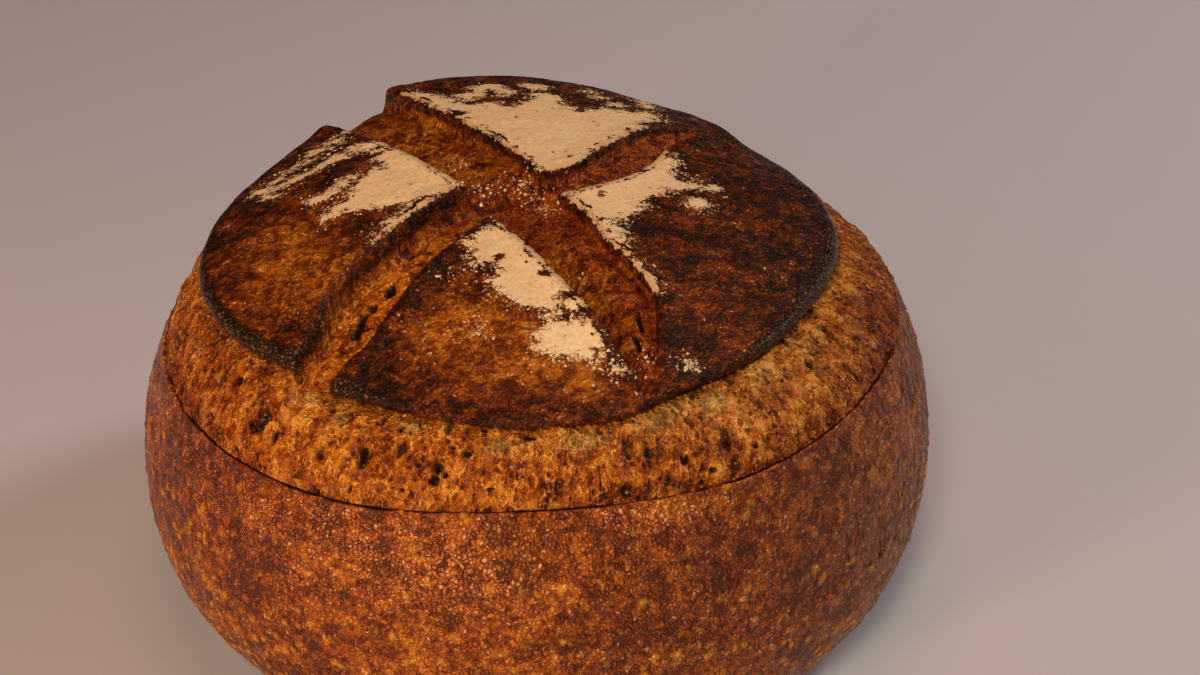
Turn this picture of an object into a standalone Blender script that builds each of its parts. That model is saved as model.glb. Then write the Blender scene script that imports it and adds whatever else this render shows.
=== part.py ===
"""A round sourdough loaf, baked free-standing: one solid of bread.

From the foot upwards the turned section passes the side crust, the thin lip where a ring cut
opened it, the burst band of crumb that swelled out of the cut, and the cap of top crust, whose
rolled edge overhangs the band. The oven left that section uneven: the rim dips on one side, and
the cap sits off centre and is higher at the back. Two crossing score cuts, which are swept
cutters, part the cap into four petals.

Metres, +Z up. The origin is on the table, under the middle of the loaf. The side with the widest
burst band faces -Y.
"""

import math

import bpy

# Driving dimensions. Shares are of the loaf's radius.
LOAF_RADIUS = 0.115
WIDEST_HEIGHT = 0.42 * LOAF_RADIUS
FOOT_RADIUS = 0.62 * LOAF_RADIUS
FOOT_ROUNDING = 2.2  # power of the curve between the foot and the widest level
SHOULDER_POWER = 2.2  # how late the side crust leans in on its way up to the rim
LIP_THICKNESS = 0.0018
LIP_STEP = 0.0008  # how far the lip stands above the crumb behind it
BAND_SWELL = 1.60  # power of the band's section: 1 is flat, 2 is a quarter of an ellipse
CAP_EDGE_THICKNESS = 0.0056
CAP_OVERHANG = 0.0036
DOME_RISE = 0.120 * LOAF_RADIUS
DOME_POWER = 2.3

# The two uneven rings, as shares of the radius at every 30 degrees from +X, turning towards +Y.
RIM_RADII = (0.900, 0.895, 0.905, 0.915, 0.915, 0.912, 0.918, 0.940, 0.940, 0.900, 0.942, 0.928)
RIM_HEIGHTS = (0.846, 0.805, 0.780, 0.760, 0.750, 0.745, 0.770, 0.780, 0.793, 0.812, 0.835, 0.853)
CAP_RADII = (0.745, 0.700, 0.675, 0.685, 0.715, 0.735, 0.808, 0.824, 0.772, 0.812, 0.775, 0.742)
CAP_HEIGHTS = (1.015, 1.012, 1.022, 1.060, 1.068, 1.015, 0.978, 0.985, 0.990, 1.005, 1.010, 1.015)

# How much higher each petal stands than the mean dome, and the width of the passage between two.
PETAL_LIFTS = {"back": 0.034, "left": 0.022, "right": 0.004, "front": -0.016}
PETAL_BLEND = 0.110

# The score cuts, each a line of (x, y, half width, depth), as shares of the radius.
LONG_CUT = (
    (-0.570, 0.700, 0.115, 0.110),
    (-0.420, 0.478, 0.098, 0.062),
    (-0.254, 0.244, 0.093, 0.050),
    (-0.140, 0.085, 0.094, 0.048),
    (-0.060, -0.030, 0.088, 0.050),
    (0.040, -0.178, 0.088, 0.056),
    (0.150, -0.375, 0.083, 0.056),
    (0.199, -0.460, 0.078, 0.050),
    (0.222, -0.572, 0.055, 0.040),
    (0.246, -0.745, 0.020, 0.014),
)
SHORT_CUT = (
    (-0.550, -0.700, 0.040, 0.060),
    (-0.468, -0.575, 0.040, 0.052),
    (-0.427, -0.497, 0.062, 0.058),
    (-0.388, -0.382, 0.078, 0.062),
    (-0.315, -0.285, 0.067, 0.060),
    (-0.240, -0.185, 0.063, 0.056),
    (-0.140, -0.075, 0.056, 0.054),
    (0.050, -0.025, 0.042, 0.040),
    (0.190, 0.075, 0.054, 0.034),
    (0.300, 0.246, 0.044, 0.024),
    (0.400, 0.338, 0.016, 0.010),
)

# Fineness of the solid.
TURNS = 96
DOME_RINGS = 15
CUT_POINTS = 25
CUTTER_SIDES = 3  # bevel resolution of the swept cutters
MERGE = 0.00001


def clear_scene():
    """Removes whatever the scene held before."""
    for old in list(bpy.data.objects):
        bpy.data.objects.remove(old, do_unlink=True)


def mix(low, high, share):
    """The value this share of the way from low to high."""
    return low + (high - low) * share


def smooth_share(value, low, high):
    """0 below low, 1 above high, and a smooth rise between."""
    share = min(1.0, max(0.0, (value - low) / (high - low)))
    return share * share * (3.0 - 2.0 * share)


def bend(before, start, end, after, part):
    """A smooth curve from start to end that also heeds the values on either side of them."""
    slope = (end - before) * part
    curve = (2 * before - 5 * start + 4 * end - after) * part**2
    turn = (3 * (start - end) + after - before) * part**3
    return start + 0.5 * (slope + curve + turn)


def ring_value(values, angle):
    """An uneven ring's value at an angle, in metres, smooth all the way round."""
    place = (angle / math.tau) % 1.0 * len(values)
    knot = int(place) % len(values)
    around = [values[(knot + step) % len(values)] for step in (-1, 0, 1, 2)]
    return LOAF_RADIUS * bend(*around, place % 1.0)


def along(line, share):
    """A cut's (x, y, half width, depth) in metres, at a share of its length in knots."""
    place = share * (len(line) - 1)
    knot = min(int(place), len(line) - 2)
    near = (line[max(knot - 1, 0)], line[knot], line[knot + 1], line[min(knot + 2, len(line) - 1)])
    return [LOAF_RADIUS * bend(*values, place - knot) for values in zip(*near)]


def side_of(x, y, line):
    """Signed distance in plan from a cut's line, in metres: positive on its left."""
    nearest = math.inf
    side = 0.0
    for start, end in zip(line, line[1:]):
        from_x, from_y = x - LOAF_RADIUS * start[0], y - LOAF_RADIUS * start[1]
        run_x, run_y = LOAF_RADIUS * (end[0] - start[0]), LOAF_RADIUS * (end[1] - start[1])
        share = (from_x * run_x + from_y * run_y) / (run_x**2 + run_y**2)
        share = min(1.0, max(0.0, share))
        off_x, off_y = from_x - share * run_x, from_y - share * run_y
        distance = math.hypot(off_x, off_y)
        if distance < nearest:
            nearest = distance
            side = math.copysign(distance, run_x * off_y - run_y * off_x)
    return side


def petal_lift(x, y):
    """How much higher the petal over a point in plan stands than the mean dome."""
    blend = PETAL_BLEND * LOAF_RADIUS
    past_long = smooth_share(side_of(x, y, LONG_CUT), -blend, blend)
    past_short = smooth_share(side_of(x, y, SHORT_CUT), -blend, blend)
    near_side = mix(PETAL_LIFTS["front"], PETAL_LIFTS["left"], past_short)
    far_side = mix(PETAL_LIFTS["right"], PETAL_LIFTS["back"], past_short)
    return LOAF_RADIUS * mix(near_side, far_side, past_long)


def dome_height(share, angle):
    """Height of the uncut dome at a share of the way out to the cap's edge."""
    edge = ring_value(CAP_HEIGHTS, angle)
    middle = LOAF_RADIUS * sum(CAP_HEIGHTS) / len(CAP_HEIGHTS) + DOME_RISE
    return mix(middle, edge, share**DOME_POWER)


def section(angle):
    """The loaf's section at an angle, from the top of the dome to the foot's middle.

    Each point is (radius, height, share of the petal's lift that it takes).
    """
    rim_radius, rim_height = ring_value(RIM_RADII, angle), ring_value(RIM_HEIGHTS, angle)
    cap_radius, cap_height = ring_value(CAP_RADII, angle), ring_value(CAP_HEIGHTS, angle)
    half = CAP_EDGE_THICKNESS / 2
    reach = (cap_radius - half) / cap_radius
    for step in range(DOME_RINGS):
        share = reach * (step / DOME_RINGS) ** 0.75
        yield cap_radius * share, dome_height(share, angle), 1.0
    roll_height = dome_height(reach, angle) - half
    for step in range(5):
        turn = math.pi * step / 4
        radius = cap_radius - half + half * math.sin(turn)
        yield radius, roll_height + half * math.cos(turn), 1.0
    inner_radius = cap_radius - CAP_OVERHANG - half
    inner_height = roll_height - half - 0.0006
    outer_radius, outer_height = rim_radius - LIP_THICKNESS, rim_height - LIP_STEP
    for step in range(7):
        turn = math.pi / 2 * step / 6
        out = math.sin(turn) ** (2.0 / BAND_SWELL)
        up = math.cos(turn) ** (2.0 / BAND_SWELL)
        lift = up**2
        yield mix(inner_radius, outer_radius, out), mix(outer_height, inner_height, up), lift
    lip = LIP_THICKNESS / 2
    yield rim_radius - LIP_THICKNESS, rim_height - lip / 2, 0.0
    yield rim_radius - lip, rim_height, 0.0
    for step in range(6):
        share = 1.0 - step / 6
        radius = LOAF_RADIUS - (LOAF_RADIUS - rim_radius) * share**SHOULDER_POWER
        yield radius, mix(WIDEST_HEIGHT, rim_height - lip, share), 0.0
    for step in range(9):
        turn = math.pi / 2 * step / 8
        out = math.cos(turn) ** (2.0 / FOOT_ROUNDING)
        down = math.sin(turn) ** (2.0 / FOOT_ROUNDING)
        yield mix(FOOT_RADIUS, LOAF_RADIUS, out), WIDEST_HEIGHT * (1.0 - down), 0.0
    yield FOOT_RADIUS * 0.6, 0.0, 0.0
    yield FOOT_RADIUS * 0.25, 0.0, 0.0
    yield 0.0, 0.0, 0.0


def cap_top(x, y):
    """Height of the cap's uncut top at a point in plan."""
    angle = math.atan2(y, x)
    share = min(1.0, math.hypot(x, y) / ring_value(CAP_RADII, angle))
    return dome_height(share, angle) + petal_lift(x, y)


def turned_blank(parts):
    """The loaf before it was scored: a turned section whose points then move to their own angle's."""
    mesh = bpy.data.meshes.new("loaf_section")
    points = [(radius, 0.0, height) for radius, height, _ in section(0.0)]
    mesh.from_pydata(points, [(i, i + 1) for i in range(len(points) - 1)], [])
    profile = bpy.data.objects.new("loaf_section", mesh)
    parts.objects.link(profile)
    level = profile.data.attributes.new("level", "FLOAT", "POINT")
    for index, value in enumerate(level.data):
        value.value = index
    screw = profile.modifiers.new("Turn", "SCREW")
    screw.steps = TURNS
    screw.render_steps = TURNS
    screw.use_merge_vertices = True
    screw.merge_threshold = MERGE
    screw.use_smooth_shade = True
    bpy.context.view_layer.update()
    graph = bpy.context.evaluated_depsgraph_get()
    blank = bpy.data.meshes.new_from_object(profile.evaluated_get(graph))
    bpy.data.objects.remove(profile, do_unlink=True)
    levels = [round(value.value) for value in blank.attributes["level"].data]
    for vertex, index in zip(blank.vertices, levels):
        if math.hypot(vertex.co.x, vertex.co.y) < MERGE:
            if index == 0:
                vertex.co.z += petal_lift(0.0, 0.0)
            continue
        angle = math.atan2(vertex.co.y, vertex.co.x)
        radius, height, lifted = list(section(angle))[index]
        x, y = radius * math.cos(angle), radius * math.sin(angle)
        vertex.co = (x, y, height + lifted * petal_lift(x, y))
    loaf = bpy.data.objects.new("loaf", blank)
    parts.objects.link(loaf)
    return loaf


def score_cutter(name, line, cutters):
    """The space that one score cut opened: a round cutter swept along the dome, as wide as the cut."""
    curve = bpy.data.curves.new(name, "CURVE")
    curve.dimensions = "3D"
    curve.bevel_depth = 1.0
    curve.bevel_resolution = CUTTER_SIDES
    curve.use_fill_caps = True
    spline = curve.splines.new("POLY")
    spline.points.add(CUT_POINTS - 1)
    for index, point in enumerate(spline.points):
        x, y, half_width, depth = along(line, index / (CUT_POINTS - 1))
        radius = (half_width**2 + depth**2) / (2.0 * depth)
        point.co = (x, y, cap_top(x, y) + radius - depth, 1.0)
        point.radius = radius
    swept = bpy.data.objects.new(name + "_sweep", curve)
    cutters.objects.link(swept)
    bpy.context.view_layer.update()
    graph = bpy.context.evaluated_depsgraph_get()
    mesh = bpy.data.meshes.new_from_object(swept.evaluated_get(graph))
    bpy.data.objects.remove(swept, do_unlink=True)
    cutter = bpy.data.objects.new(name, mesh)
    cutters.objects.link(cutter)
    weld = cutter.modifiers.new("Weld caps", "WELD")
    weld.merge_threshold = MERGE
    cutter.hide_render = True
    cutter.display_type = "WIRE"
    return cutter


def crust_material():
    """Dark baked crust."""
    material = bpy.data.materials.new("dark_crust")
    material.use_nodes = True
    shader = material.node_tree.nodes["Principled BSDF"]
    shader.inputs["Base Color"].default_value = (0.19, 0.062, 0.016, 1.0)
    shader.inputs["Roughness"].default_value = 0.5
    shader.inputs["Metallic"].default_value = 0.0
    return material


def main():
    """Builds the loaf and leaves its two cutters hidden in their own collection."""
    clear_scene()
    parts = bpy.data.collections.new("sourdough loaf")
    cutters = bpy.data.collections.new("cutters")
    bpy.context.scene.collection.children.link(parts)
    bpy.context.scene.collection.children.link(cutters)
    loaf = turned_blank(parts)
    loaf.data.materials.append(crust_material())
    for name, line in (("long_cut", LONG_CUT), ("short_cut", SHORT_CUT)):
        cut = loaf.modifiers.new(name, "BOOLEAN")
        cut.operation = "DIFFERENCE"
        cut.solver = "EXACT"
        cut.object = score_cutter(name, line, cutters)


main()
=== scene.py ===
"""Looks of a round sourdough loaf: baked skin, torn crumb, scored cap, flour, and a plain studio.

The skin is worked out point by point from one LoafForm and cut into pieces that meet exactly:
the side crust in quarters, the foot, the burst band in halves, and the cap as four petals and the
crumb of the two crossing score cuts. Each point carries masks (char, crumb, flour and so on) that
the finishes turn into colour, gloss and fine relief.
"""

from __future__ import annotations

import enum
import logging
import math
from dataclasses import dataclass, field

import bpy
import numpy as np
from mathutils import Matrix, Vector


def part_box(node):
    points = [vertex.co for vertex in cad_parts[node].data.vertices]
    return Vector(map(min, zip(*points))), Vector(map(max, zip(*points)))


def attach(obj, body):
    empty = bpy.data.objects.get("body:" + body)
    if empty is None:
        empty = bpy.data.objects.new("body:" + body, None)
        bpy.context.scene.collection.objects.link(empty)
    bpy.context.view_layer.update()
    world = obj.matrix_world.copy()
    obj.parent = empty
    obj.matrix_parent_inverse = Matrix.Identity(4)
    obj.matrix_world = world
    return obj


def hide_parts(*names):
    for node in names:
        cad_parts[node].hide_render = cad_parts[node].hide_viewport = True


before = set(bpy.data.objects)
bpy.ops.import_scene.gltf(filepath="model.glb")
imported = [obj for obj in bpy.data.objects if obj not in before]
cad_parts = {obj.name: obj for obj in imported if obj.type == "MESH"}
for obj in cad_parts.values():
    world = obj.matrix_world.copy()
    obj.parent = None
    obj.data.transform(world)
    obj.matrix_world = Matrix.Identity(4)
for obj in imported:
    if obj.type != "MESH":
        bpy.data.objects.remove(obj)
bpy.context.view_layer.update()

log = logging.getLogger("loaf")
NODE = "loaf"
BODY = "root"
TAU = 2.0 * math.pi
MM = 0.001


# ---------------------------------------------------------------- numbers and noise


def smooth_share(value: np.ndarray, low: float, high: float) -> np.ndarray:
    """0 at low, 1 at high, and an S curve between them."""
    share = np.clip((value - low) / (high - low), 0.0, 1.0)
    return share * share * (3.0 - 2.0 * share)


def mix(low, high, share):
    """The value this share of the way from low to high."""
    return low + (high - low) * share


def bell(value: np.ndarray, middle: float, width: float) -> np.ndarray:
    """1 at the middle, falling smoothly to nothing over about twice the width."""
    return np.exp(-(((value - middle) / width) ** 2))


def bend(before, start, end, after, part):
    """A smooth curve from start to end that also heeds the values on either side of them."""
    slope = (end - before) * part
    curve = (2 * before - 5 * start + 4 * end - after) * part**2
    turn = (3 * (start - end) + after - before) * part**3
    return start + 0.5 * (slope + curve + turn)


def angle_gap(theta: np.ndarray, middle: float) -> np.ndarray:
    """Signed angle from middle to theta, between minus and plus half a turn."""
    return (theta - middle + math.pi) % TAU - math.pi


class Noise:
    """Smooth random fields over space, the same on every run."""

    DIRECTIONS = 64
    PRIMES = (0x8DA6B343, 0xD8163841, 0xCB1AB31F)

    def __init__(self) -> None:
        """Draws the fixed set of gradient directions."""
        table = np.random.default_rng(7).normal(size=(self.DIRECTIONS, 3))
        table /= np.linalg.norm(table, axis=1)[:, None]
        self.table = table.astype(np.float32)

    def scramble(self, cell: np.ndarray, seed: int) -> np.ndarray:
        """A random 32-bit number for each lattice cell.

        Args:
            cell: whole-number coordinates, three in the last axis.
            seed: number of the field.

        Returns:
            One unsigned number per cell.
        """
        parts = cell.astype(np.int64).astype(np.uint32)
        value = np.full(cell.shape[:-1], seed * 0x9E3779B9 & 0xFFFFFFFF, np.uint32)
        for axis, prime in enumerate(self.PRIMES):
            value ^= parts[..., axis] * np.uint32(prime)
            value ^= value >> np.uint32(15)
            value *= np.uint32(0x2C1B3C6D)
        value ^= value >> np.uint32(13)
        return value

    def waves(self, points: np.ndarray, size: float, seed: int) -> np.ndarray:
        """Gradient noise of one feature size.

        Args:
            points: positions in metres, one a row.
            size: distance between neighbouring bumps, in metres.
            seed: number of the field.

        Returns:
            Values from about -1 to 1.
        """
        place = points / size
        corner = np.floor(place)
        part = (place - corner).astype(np.float32)
        fade = part**3 * (part * (part * 6.0 - 15.0) + 10.0)
        total = np.zeros(len(points), np.float32)
        for step in np.ndindex(2, 2, 2):
            offset = np.array(step, np.float32)
            picks = self.scramble(corner + offset, seed) % np.uint32(self.DIRECTIONS)
            dots = ((part - offset) * self.table[picks]).sum(axis=1)
            weight = np.prod(np.where(offset == 1.0, fade, 1.0 - fade), axis=1)
            total += dots * weight
        return total * 1.6

    def layers(self, points: np.ndarray, size: float, seed: int, count: int = 3) -> np.ndarray:
        """Several wave fields, each half as large and half as strong as the one before it.

        Args:
            points: positions in metres, one a row.
            size: feature size of the coarsest field, in metres.
            seed: number of the field.
            count: how many fields.

        Returns:
            Values from about -1 to 1.
        """
        total = np.zeros(len(points), np.float32)
        for octave in range(count):
            total += self.waves(points, size / 2**octave, seed + octave) / 2**octave
        return total / (2.0 - 2.0 ** (1 - count))

    def ridges(self, points: np.ndarray, size: float, seed: int, width: float) -> np.ndarray:
        """Wandering narrow ridges about this far apart: 1 along each crest, 0 off the ridge."""
        return smooth_share(width - np.abs(self.waves(points, size, seed)), 0.0, width)

    def cells(self, points: np.ndarray, size: float, seed: int) -> tuple[np.ndarray, ...]:
        """Distances to scattered seeds, one seed in each cell of a lattice.

        Args:
            points: positions in metres, one a row.
            size: mean distance between seeds, in metres.
            seed: number of the field.

        Returns:
            Distance to the nearest seed and to the next one, as shares of the size, and a random
            share that belongs to the nearest seed.
        """
        place = (points / size).astype(np.float32)
        corner = np.floor(place)
        nearest = np.full(len(points), 9.0, np.float32)
        second = nearest.copy()
        own = np.zeros(len(points), np.float32)
        for step in np.ndindex(3, 3, 3):
            cell = corner + (np.array(step, np.float32) - 1.0)
            value = self.scramble(cell, seed)
            jitter = np.stack([(value >> np.uint32(b)) & np.uint32(1023) for b in (0, 10, 20)], 1)
            gap = np.linalg.norm(cell + jitter.astype(np.float32) / 1023.0 - place, axis=1)
            closer = gap < nearest
            second = np.where(closer, nearest, np.minimum(second, gap))
            own = np.where(closer, (value >> np.uint32(7) & np.uint32(255)) / 255.0, own)
            nearest = np.where(closer, gap, nearest)
        return nearest, second, own.astype(np.float32)


NOISE = Noise()


# ---------------------------------------------------------------- form of the loaf


@dataclass(frozen=True)
class UnevenRing:
    """A ring whose value changes round the loaf, given at even steps from +X towards +Y."""

    values: tuple[float, ...]

    def at(self, theta: np.ndarray) -> np.ndarray:
        """The ring's value at each angle, smooth all the way round."""
        table = np.array(self.values)
        place = (theta / TAU % 1.0) * len(table)
        knot = np.floor(place).astype(int)
        near = [table[(knot + step) % len(table)] for step in (-1, 0, 1, 2)]
        return bend(*near, place - knot)


@dataclass(frozen=True)
class CutProfile:
    """The shape across a score cut, seen along its line; shares are of the half width."""

    left_wall: float  # how much of it the wall on the left takes up
    right_wall: float
    bulge: float  # how far the crumb rises between the walls, as a share of the depth
    crest: float  # where it rises highest, from -1 on the right to 1 on the left
    tilt: float  # how much deeper the left side lies than the right one

    def opened(self, out: np.ndarray) -> np.ndarray:
        """0 on the petals and 1 past the cut's walls, at places -1 (right) to 1 (left) across it."""
        wall = np.where(out > 0.0, self.left_wall, self.right_wall)
        return smooth_share((1.0 - np.abs(out)) / wall, 0.0, 1.0)

    def depth_share(self, out: np.ndarray) -> np.ndarray:
        """How deep the cut is at places across it, as a share of its full depth."""
        rise = self.bulge * np.clip(1.0 - ((out - self.crest) / 0.9) ** 2, 0.0, 1.0)
        return self.opened(out) * np.clip(1.0 - rise + self.tilt * out, 0.05, 1.7)


@dataclass(frozen=True)
class CutPlaces:
    """Where points in plan stand with regard to a score cut; lengths are shares of the radius."""

    side: np.ndarray  # signed distance from the cut's line, positive on its left
    width: np.ndarray  # half width there
    depth: np.ndarray
    share: np.ndarray  # share of the cut's length that has gone by
    past: np.ndarray  # how far a point lies past either end of the cut

    def out(self) -> np.ndarray:
        """Place across the cut: -1 at its right edge, 1 at its left edge, more beyond them."""
        return np.copysign(np.hypot(self.side, self.past), self.side) / self.width

    def off_edge(self) -> np.ndarray:
        """Distance from the cut's nearest edge, negative inside the cut."""
        return np.hypot(self.side, self.past) - self.width


@dataclass(frozen=True)
class ScoreCut:
    """One score cut in the cap: knots of (x, y, half width, depth), as shares of the radius."""

    knots: tuple[tuple[float, float, float, float], ...]
    first: CutProfile
    last: CutProfile
    change: tuple[float, float]  # shares of the length between which first turns into last
    steps: int = 60

    def line(self) -> np.ndarray:
        """The cut as closely spaced rows of (x, y, half width, depth)."""
        knots = np.array(self.knots)
        place = np.linspace(0.0, len(knots) - 1.0, self.steps)
        knot = np.minimum(place.astype(int), len(knots) - 2)
        part = (place - knot)[:, None]
        before, after = knots[np.maximum(knot - 1, 0)], knots[np.minimum(knot + 2, len(knots) - 1)]
        return bend(before, knots[knot], knots[knot + 1], after, part)

    def places(self, x: np.ndarray, y: np.ndarray) -> CutPlaces:
        """Where points in plan stand with regard to the cut.

        Args:
            x: plan positions as shares of the radius, in one row.
            y: the same along +Y.

        Returns:
            The points' places; past either end the cut's line runs on straight.
        """
        line = self.line()
        start, run = line[:-1], np.diff(line, axis=0)
        length = (run[:, :2] ** 2).sum(axis=1)
        last = len(run) - 1
        side, width, depth, share, past = (np.empty(len(x)) for _ in range(5))
        for low in range(0, len(x), 20000):
            part = slice(low, low + 20000)
            off_x = x[part, None] - start[:, 0]
            off_y = y[part, None] - start[:, 1]
            free = (off_x * run[:, 0] + off_y * run[:, 1]) / length
            held = np.clip(free, 0.0, 1.0)
            gap = (off_x - held * run[:, 0]) ** 2 + (off_y - held * run[:, 1]) ** 2
            best = gap.argmin(axis=1)
            rows = np.arange(len(best))
            turn = run[best, 0] * off_y[rows, best] - run[best, 1] * off_x[rows, best]
            side[part] = turn / np.sqrt(length[best])
            along, beyond = held[rows, best], free[rows, best]
            ends = np.where(best == 0, np.maximum(-beyond, 0.0), 0.0)
            ends += np.where(best == last, np.maximum(beyond - 1.0, 0.0), 0.0)
            past[part] = ends * np.sqrt(length[best])
            width[part] = start[best, 2] + along * run[best, 2]
            depth[part] = start[best, 3] + along * run[best, 3]
            share[part] = (best + along) / self.steps
        return CutPlaces(side, np.maximum(width, 0.004), np.maximum(depth, 0.0), share, past)

    def opened(self, places: CutPlaces) -> np.ndarray:
        """0 on the petals and 1 on the crumb inside the cut."""
        out, late = places.out(), smooth_share(places.share, *self.change)
        return mix(self.first.opened(out), self.last.opened(out), late)

    def carve(self, places: CutPlaces) -> np.ndarray:
        """How deep the cut is at each point, as a share of the radius."""
        out, late = places.out(), smooth_share(places.share, *self.change)
        return places.depth * mix(self.first.depth_share(out), self.last.depth_share(out), late)


@dataclass(frozen=True)
class LoafForm:
    """The loaf's true form: the sizes of its section, its uneven rings and its score cuts."""

    radius: float
    widest: float = 0.42
    foot: float = 0.62
    foot_rounding: float = 2.2
    shoulder_power: float = 2.2
    lip_thickness: float = 1.2 * MM
    lip_step: float = 0.1 * MM
    band_swell: float = 1.60
    cap_overhang: float = 3.6 * MM
    dome_rise: float = 0.120
    dome_power: float = 2.3
    rim_radii: UnevenRing = UnevenRing(
        (0.900, 0.895, 0.905, 0.915, 0.915, 0.912, 0.918, 0.940, 0.940, 0.900, 0.942, 0.928)
    )
    rim_heights: UnevenRing = UnevenRing(
        (0.846, 0.805, 0.780, 0.760, 0.750, 0.745, 0.770, 0.780, 0.793, 0.812, 0.835, 0.853)
    )
    cap_radii: UnevenRing = UnevenRing(
        (0.745, 0.700, 0.675, 0.685, 0.715, 0.735, 0.808, 0.824, 0.772, 0.812, 0.775, 0.742)
    )
    cap_heights: UnevenRing = UnevenRing(
        (1.015, 1.012, 1.022, 1.060, 1.068, 1.015, 0.978, 0.985, 0.990, 1.005, 1.010, 1.015)
    )
    cap_edges: UnevenRing = UnevenRing(  # thickness of the cap's rolled edge, in millimetres
        (6.4, 5.6, 5.0, 4.6, 4.6, 5.0, 6.0, 5.4, 3.6, 2.8, 3.4, 5.4)
    )
    petal_lifts: tuple[float, float, float, float] = (0.034, 0.022, 0.004, -0.016)
    long_cut: ScoreCut = ScoreCut(
        (
            (-0.570, 0.700, 0.115, 0.110),
            (-0.420, 0.478, 0.098, 0.062),
            (-0.254, 0.244, 0.093, 0.050),
            (-0.140, 0.085, 0.094, 0.048),
            (-0.060, -0.030, 0.088, 0.050),
            (0.040, -0.178, 0.088, 0.056),
            (0.100, -0.298, 0.082, 0.058),
            (0.150, -0.375, 0.083, 0.056),
            (0.199, -0.460, 0.078, 0.050),
            (0.222, -0.572, 0.055, 0.040),
            (0.237, -0.663, 0.031, 0.024),
            (0.246, -0.745, 0.008, 0.000),
        ),
        first=CutProfile(left_wall=0.20, right_wall=0.25, bulge=0.15, crest=0.2, tilt=-0.15),
        last=CutProfile(left_wall=0.18, right_wall=0.12, bulge=0.62, crest=0.25, tilt=-0.10),
        change=(0.36, 0.50),
    )
    short_cut: ScoreCut = ScoreCut(
        (
            (-0.560, -0.690, 0.060, 0.052),
            (-0.480, -0.560, 0.054, 0.052),
            (-0.432, -0.492, 0.066, 0.058),
            (-0.388, -0.382, 0.078, 0.062),
            (-0.315, -0.285, 0.067, 0.060),
            (-0.240, -0.185, 0.063, 0.056),
            (-0.140, -0.075, 0.056, 0.054),
            (-0.030, -0.040, 0.050, 0.048),
            (0.050, -0.025, 0.042, 0.040),
            (0.140, 0.025, 0.046, 0.036),
            (0.190, 0.075, 0.054, 0.034),
            (0.250, 0.156, 0.054, 0.030),
            (0.300, 0.246, 0.044, 0.024),
            (0.350, 0.300, 0.030, 0.015),
            (0.410, 0.345, 0.010, 0.000),
        ),
        first=CutProfile(left_wall=0.46, right_wall=0.12, bulge=0.15, crest=-0.2, tilt=0.72),
        last=CutProfile(left_wall=0.35, right_wall=0.30, bulge=0.20, crest=0.0, tilt=0.10),
        change=(0.45, 0.60),
    )

    def rim(self, theta: np.ndarray) -> tuple[np.ndarray, np.ndarray]:
        """Radius and height of the side crust's lip at each angle."""
        return self.radius * self.rim_radii.at(theta), self.radius * self.rim_heights.at(theta)

    def cap(self, theta: np.ndarray) -> tuple[np.ndarray, np.ndarray]:
        """Radius and height of the cap's edge at each angle."""
        return self.radius * self.cap_radii.at(theta), self.radius * self.cap_heights.at(theta)

    def dome(self, share: np.ndarray, theta: np.ndarray) -> np.ndarray:
        """Height of the uncut dome at a share of the way out to the cap's edge."""
        edge = self.cap(theta)[1]
        middle = self.radius * (np.mean(self.cap_heights.values) + self.dome_rise)
        return mix(middle, edge, share**self.dome_power)

    def side_section(self, theta: np.ndarray, down: np.ndarray) -> np.ndarray:
        """Points of the side crust, lip to foot.

        Args:
            theta: angles, one a point.
            down: share of the way from the lip's inner edge (0) to the foot (1).

        Returns:
            Positions, one a row.
        """
        rim_radius, rim_height = self.rim(theta)
        lip = self.lip_thickness / 2.0
        widest = self.radius * self.widest
        roll = np.clip(down / 0.05, 0.0, 1.0)
        turn = math.pi * roll
        radius = rim_radius - lip - lip * np.cos(turn)
        height = rim_height - lip + lip * np.sin(turn) - 0.2 * MM * (1.0 - roll) ** 2
        fall = np.clip((down - 0.05) / 0.40, 0.0, 1.0)
        shoulder = self.radius - (self.radius - rim_radius) * (1.0 - fall) ** self.shoulder_power
        past_roll = down > 0.05
        radius = np.where(past_roll, shoulder, radius)
        height = np.where(past_roll, mix(rim_height - lip, widest, fall), height)
        under = np.clip((down - 0.45) / 0.55, 0.0, 1.0) * math.pi / 2.0
        out = np.cos(under) ** (2.0 / self.foot_rounding)
        low = widest * (1.0 - np.sin(under) ** (2.0 / self.foot_rounding))
        past_widest = down > 0.45
        radius = np.where(past_widest, self.radius * mix(self.foot, 1.0, out), radius)
        height = np.where(past_widest, low, height)
        return np.stack([radius * np.cos(theta), radius * np.sin(theta), height], axis=-1)

    def band_section(self, theta: np.ndarray, out: np.ndarray) -> np.ndarray:
        """Points of the burst band.

        Args:
            theta: angles, one a point.
            out: share of the way from under the cap (0) to behind the lip (1).

        Returns:
            Positions, one a row.
        """
        rim_radius, rim_height = self.rim(theta)
        cap_radius, cap_height = self.cap(theta)
        edge = self.cap_edges.at(theta) * MM
        inner_radius = cap_radius - self.cap_overhang - edge / 2.0
        inner_height = cap_height - edge - 0.6 * MM
        outer_radius = rim_radius - self.lip_thickness
        outer_height = rim_height - self.lip_step
        turn = out * math.pi / 2.0
        radius = mix(inner_radius, outer_radius, np.sin(turn) ** (2.0 / self.band_swell))
        height = mix(outer_height, inner_height, np.cos(turn) ** (2.0 / self.band_swell))
        lifted = np.cos(turn) ** (4.0 / self.band_swell)
        x, y = radius * np.cos(theta), radius * np.sin(theta)
        height = height + lifted * self.petal_lift(x, y)
        surface, opened = self.cut_surface(x, y)
        room = 1.5 * MM
        sunk = surface - 0.35 * MM
        lower = -room * np.logaddexp(-height / room, -sunk / room)
        return np.stack([x, y, mix(height, lower, opened)], axis=-1)

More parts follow.
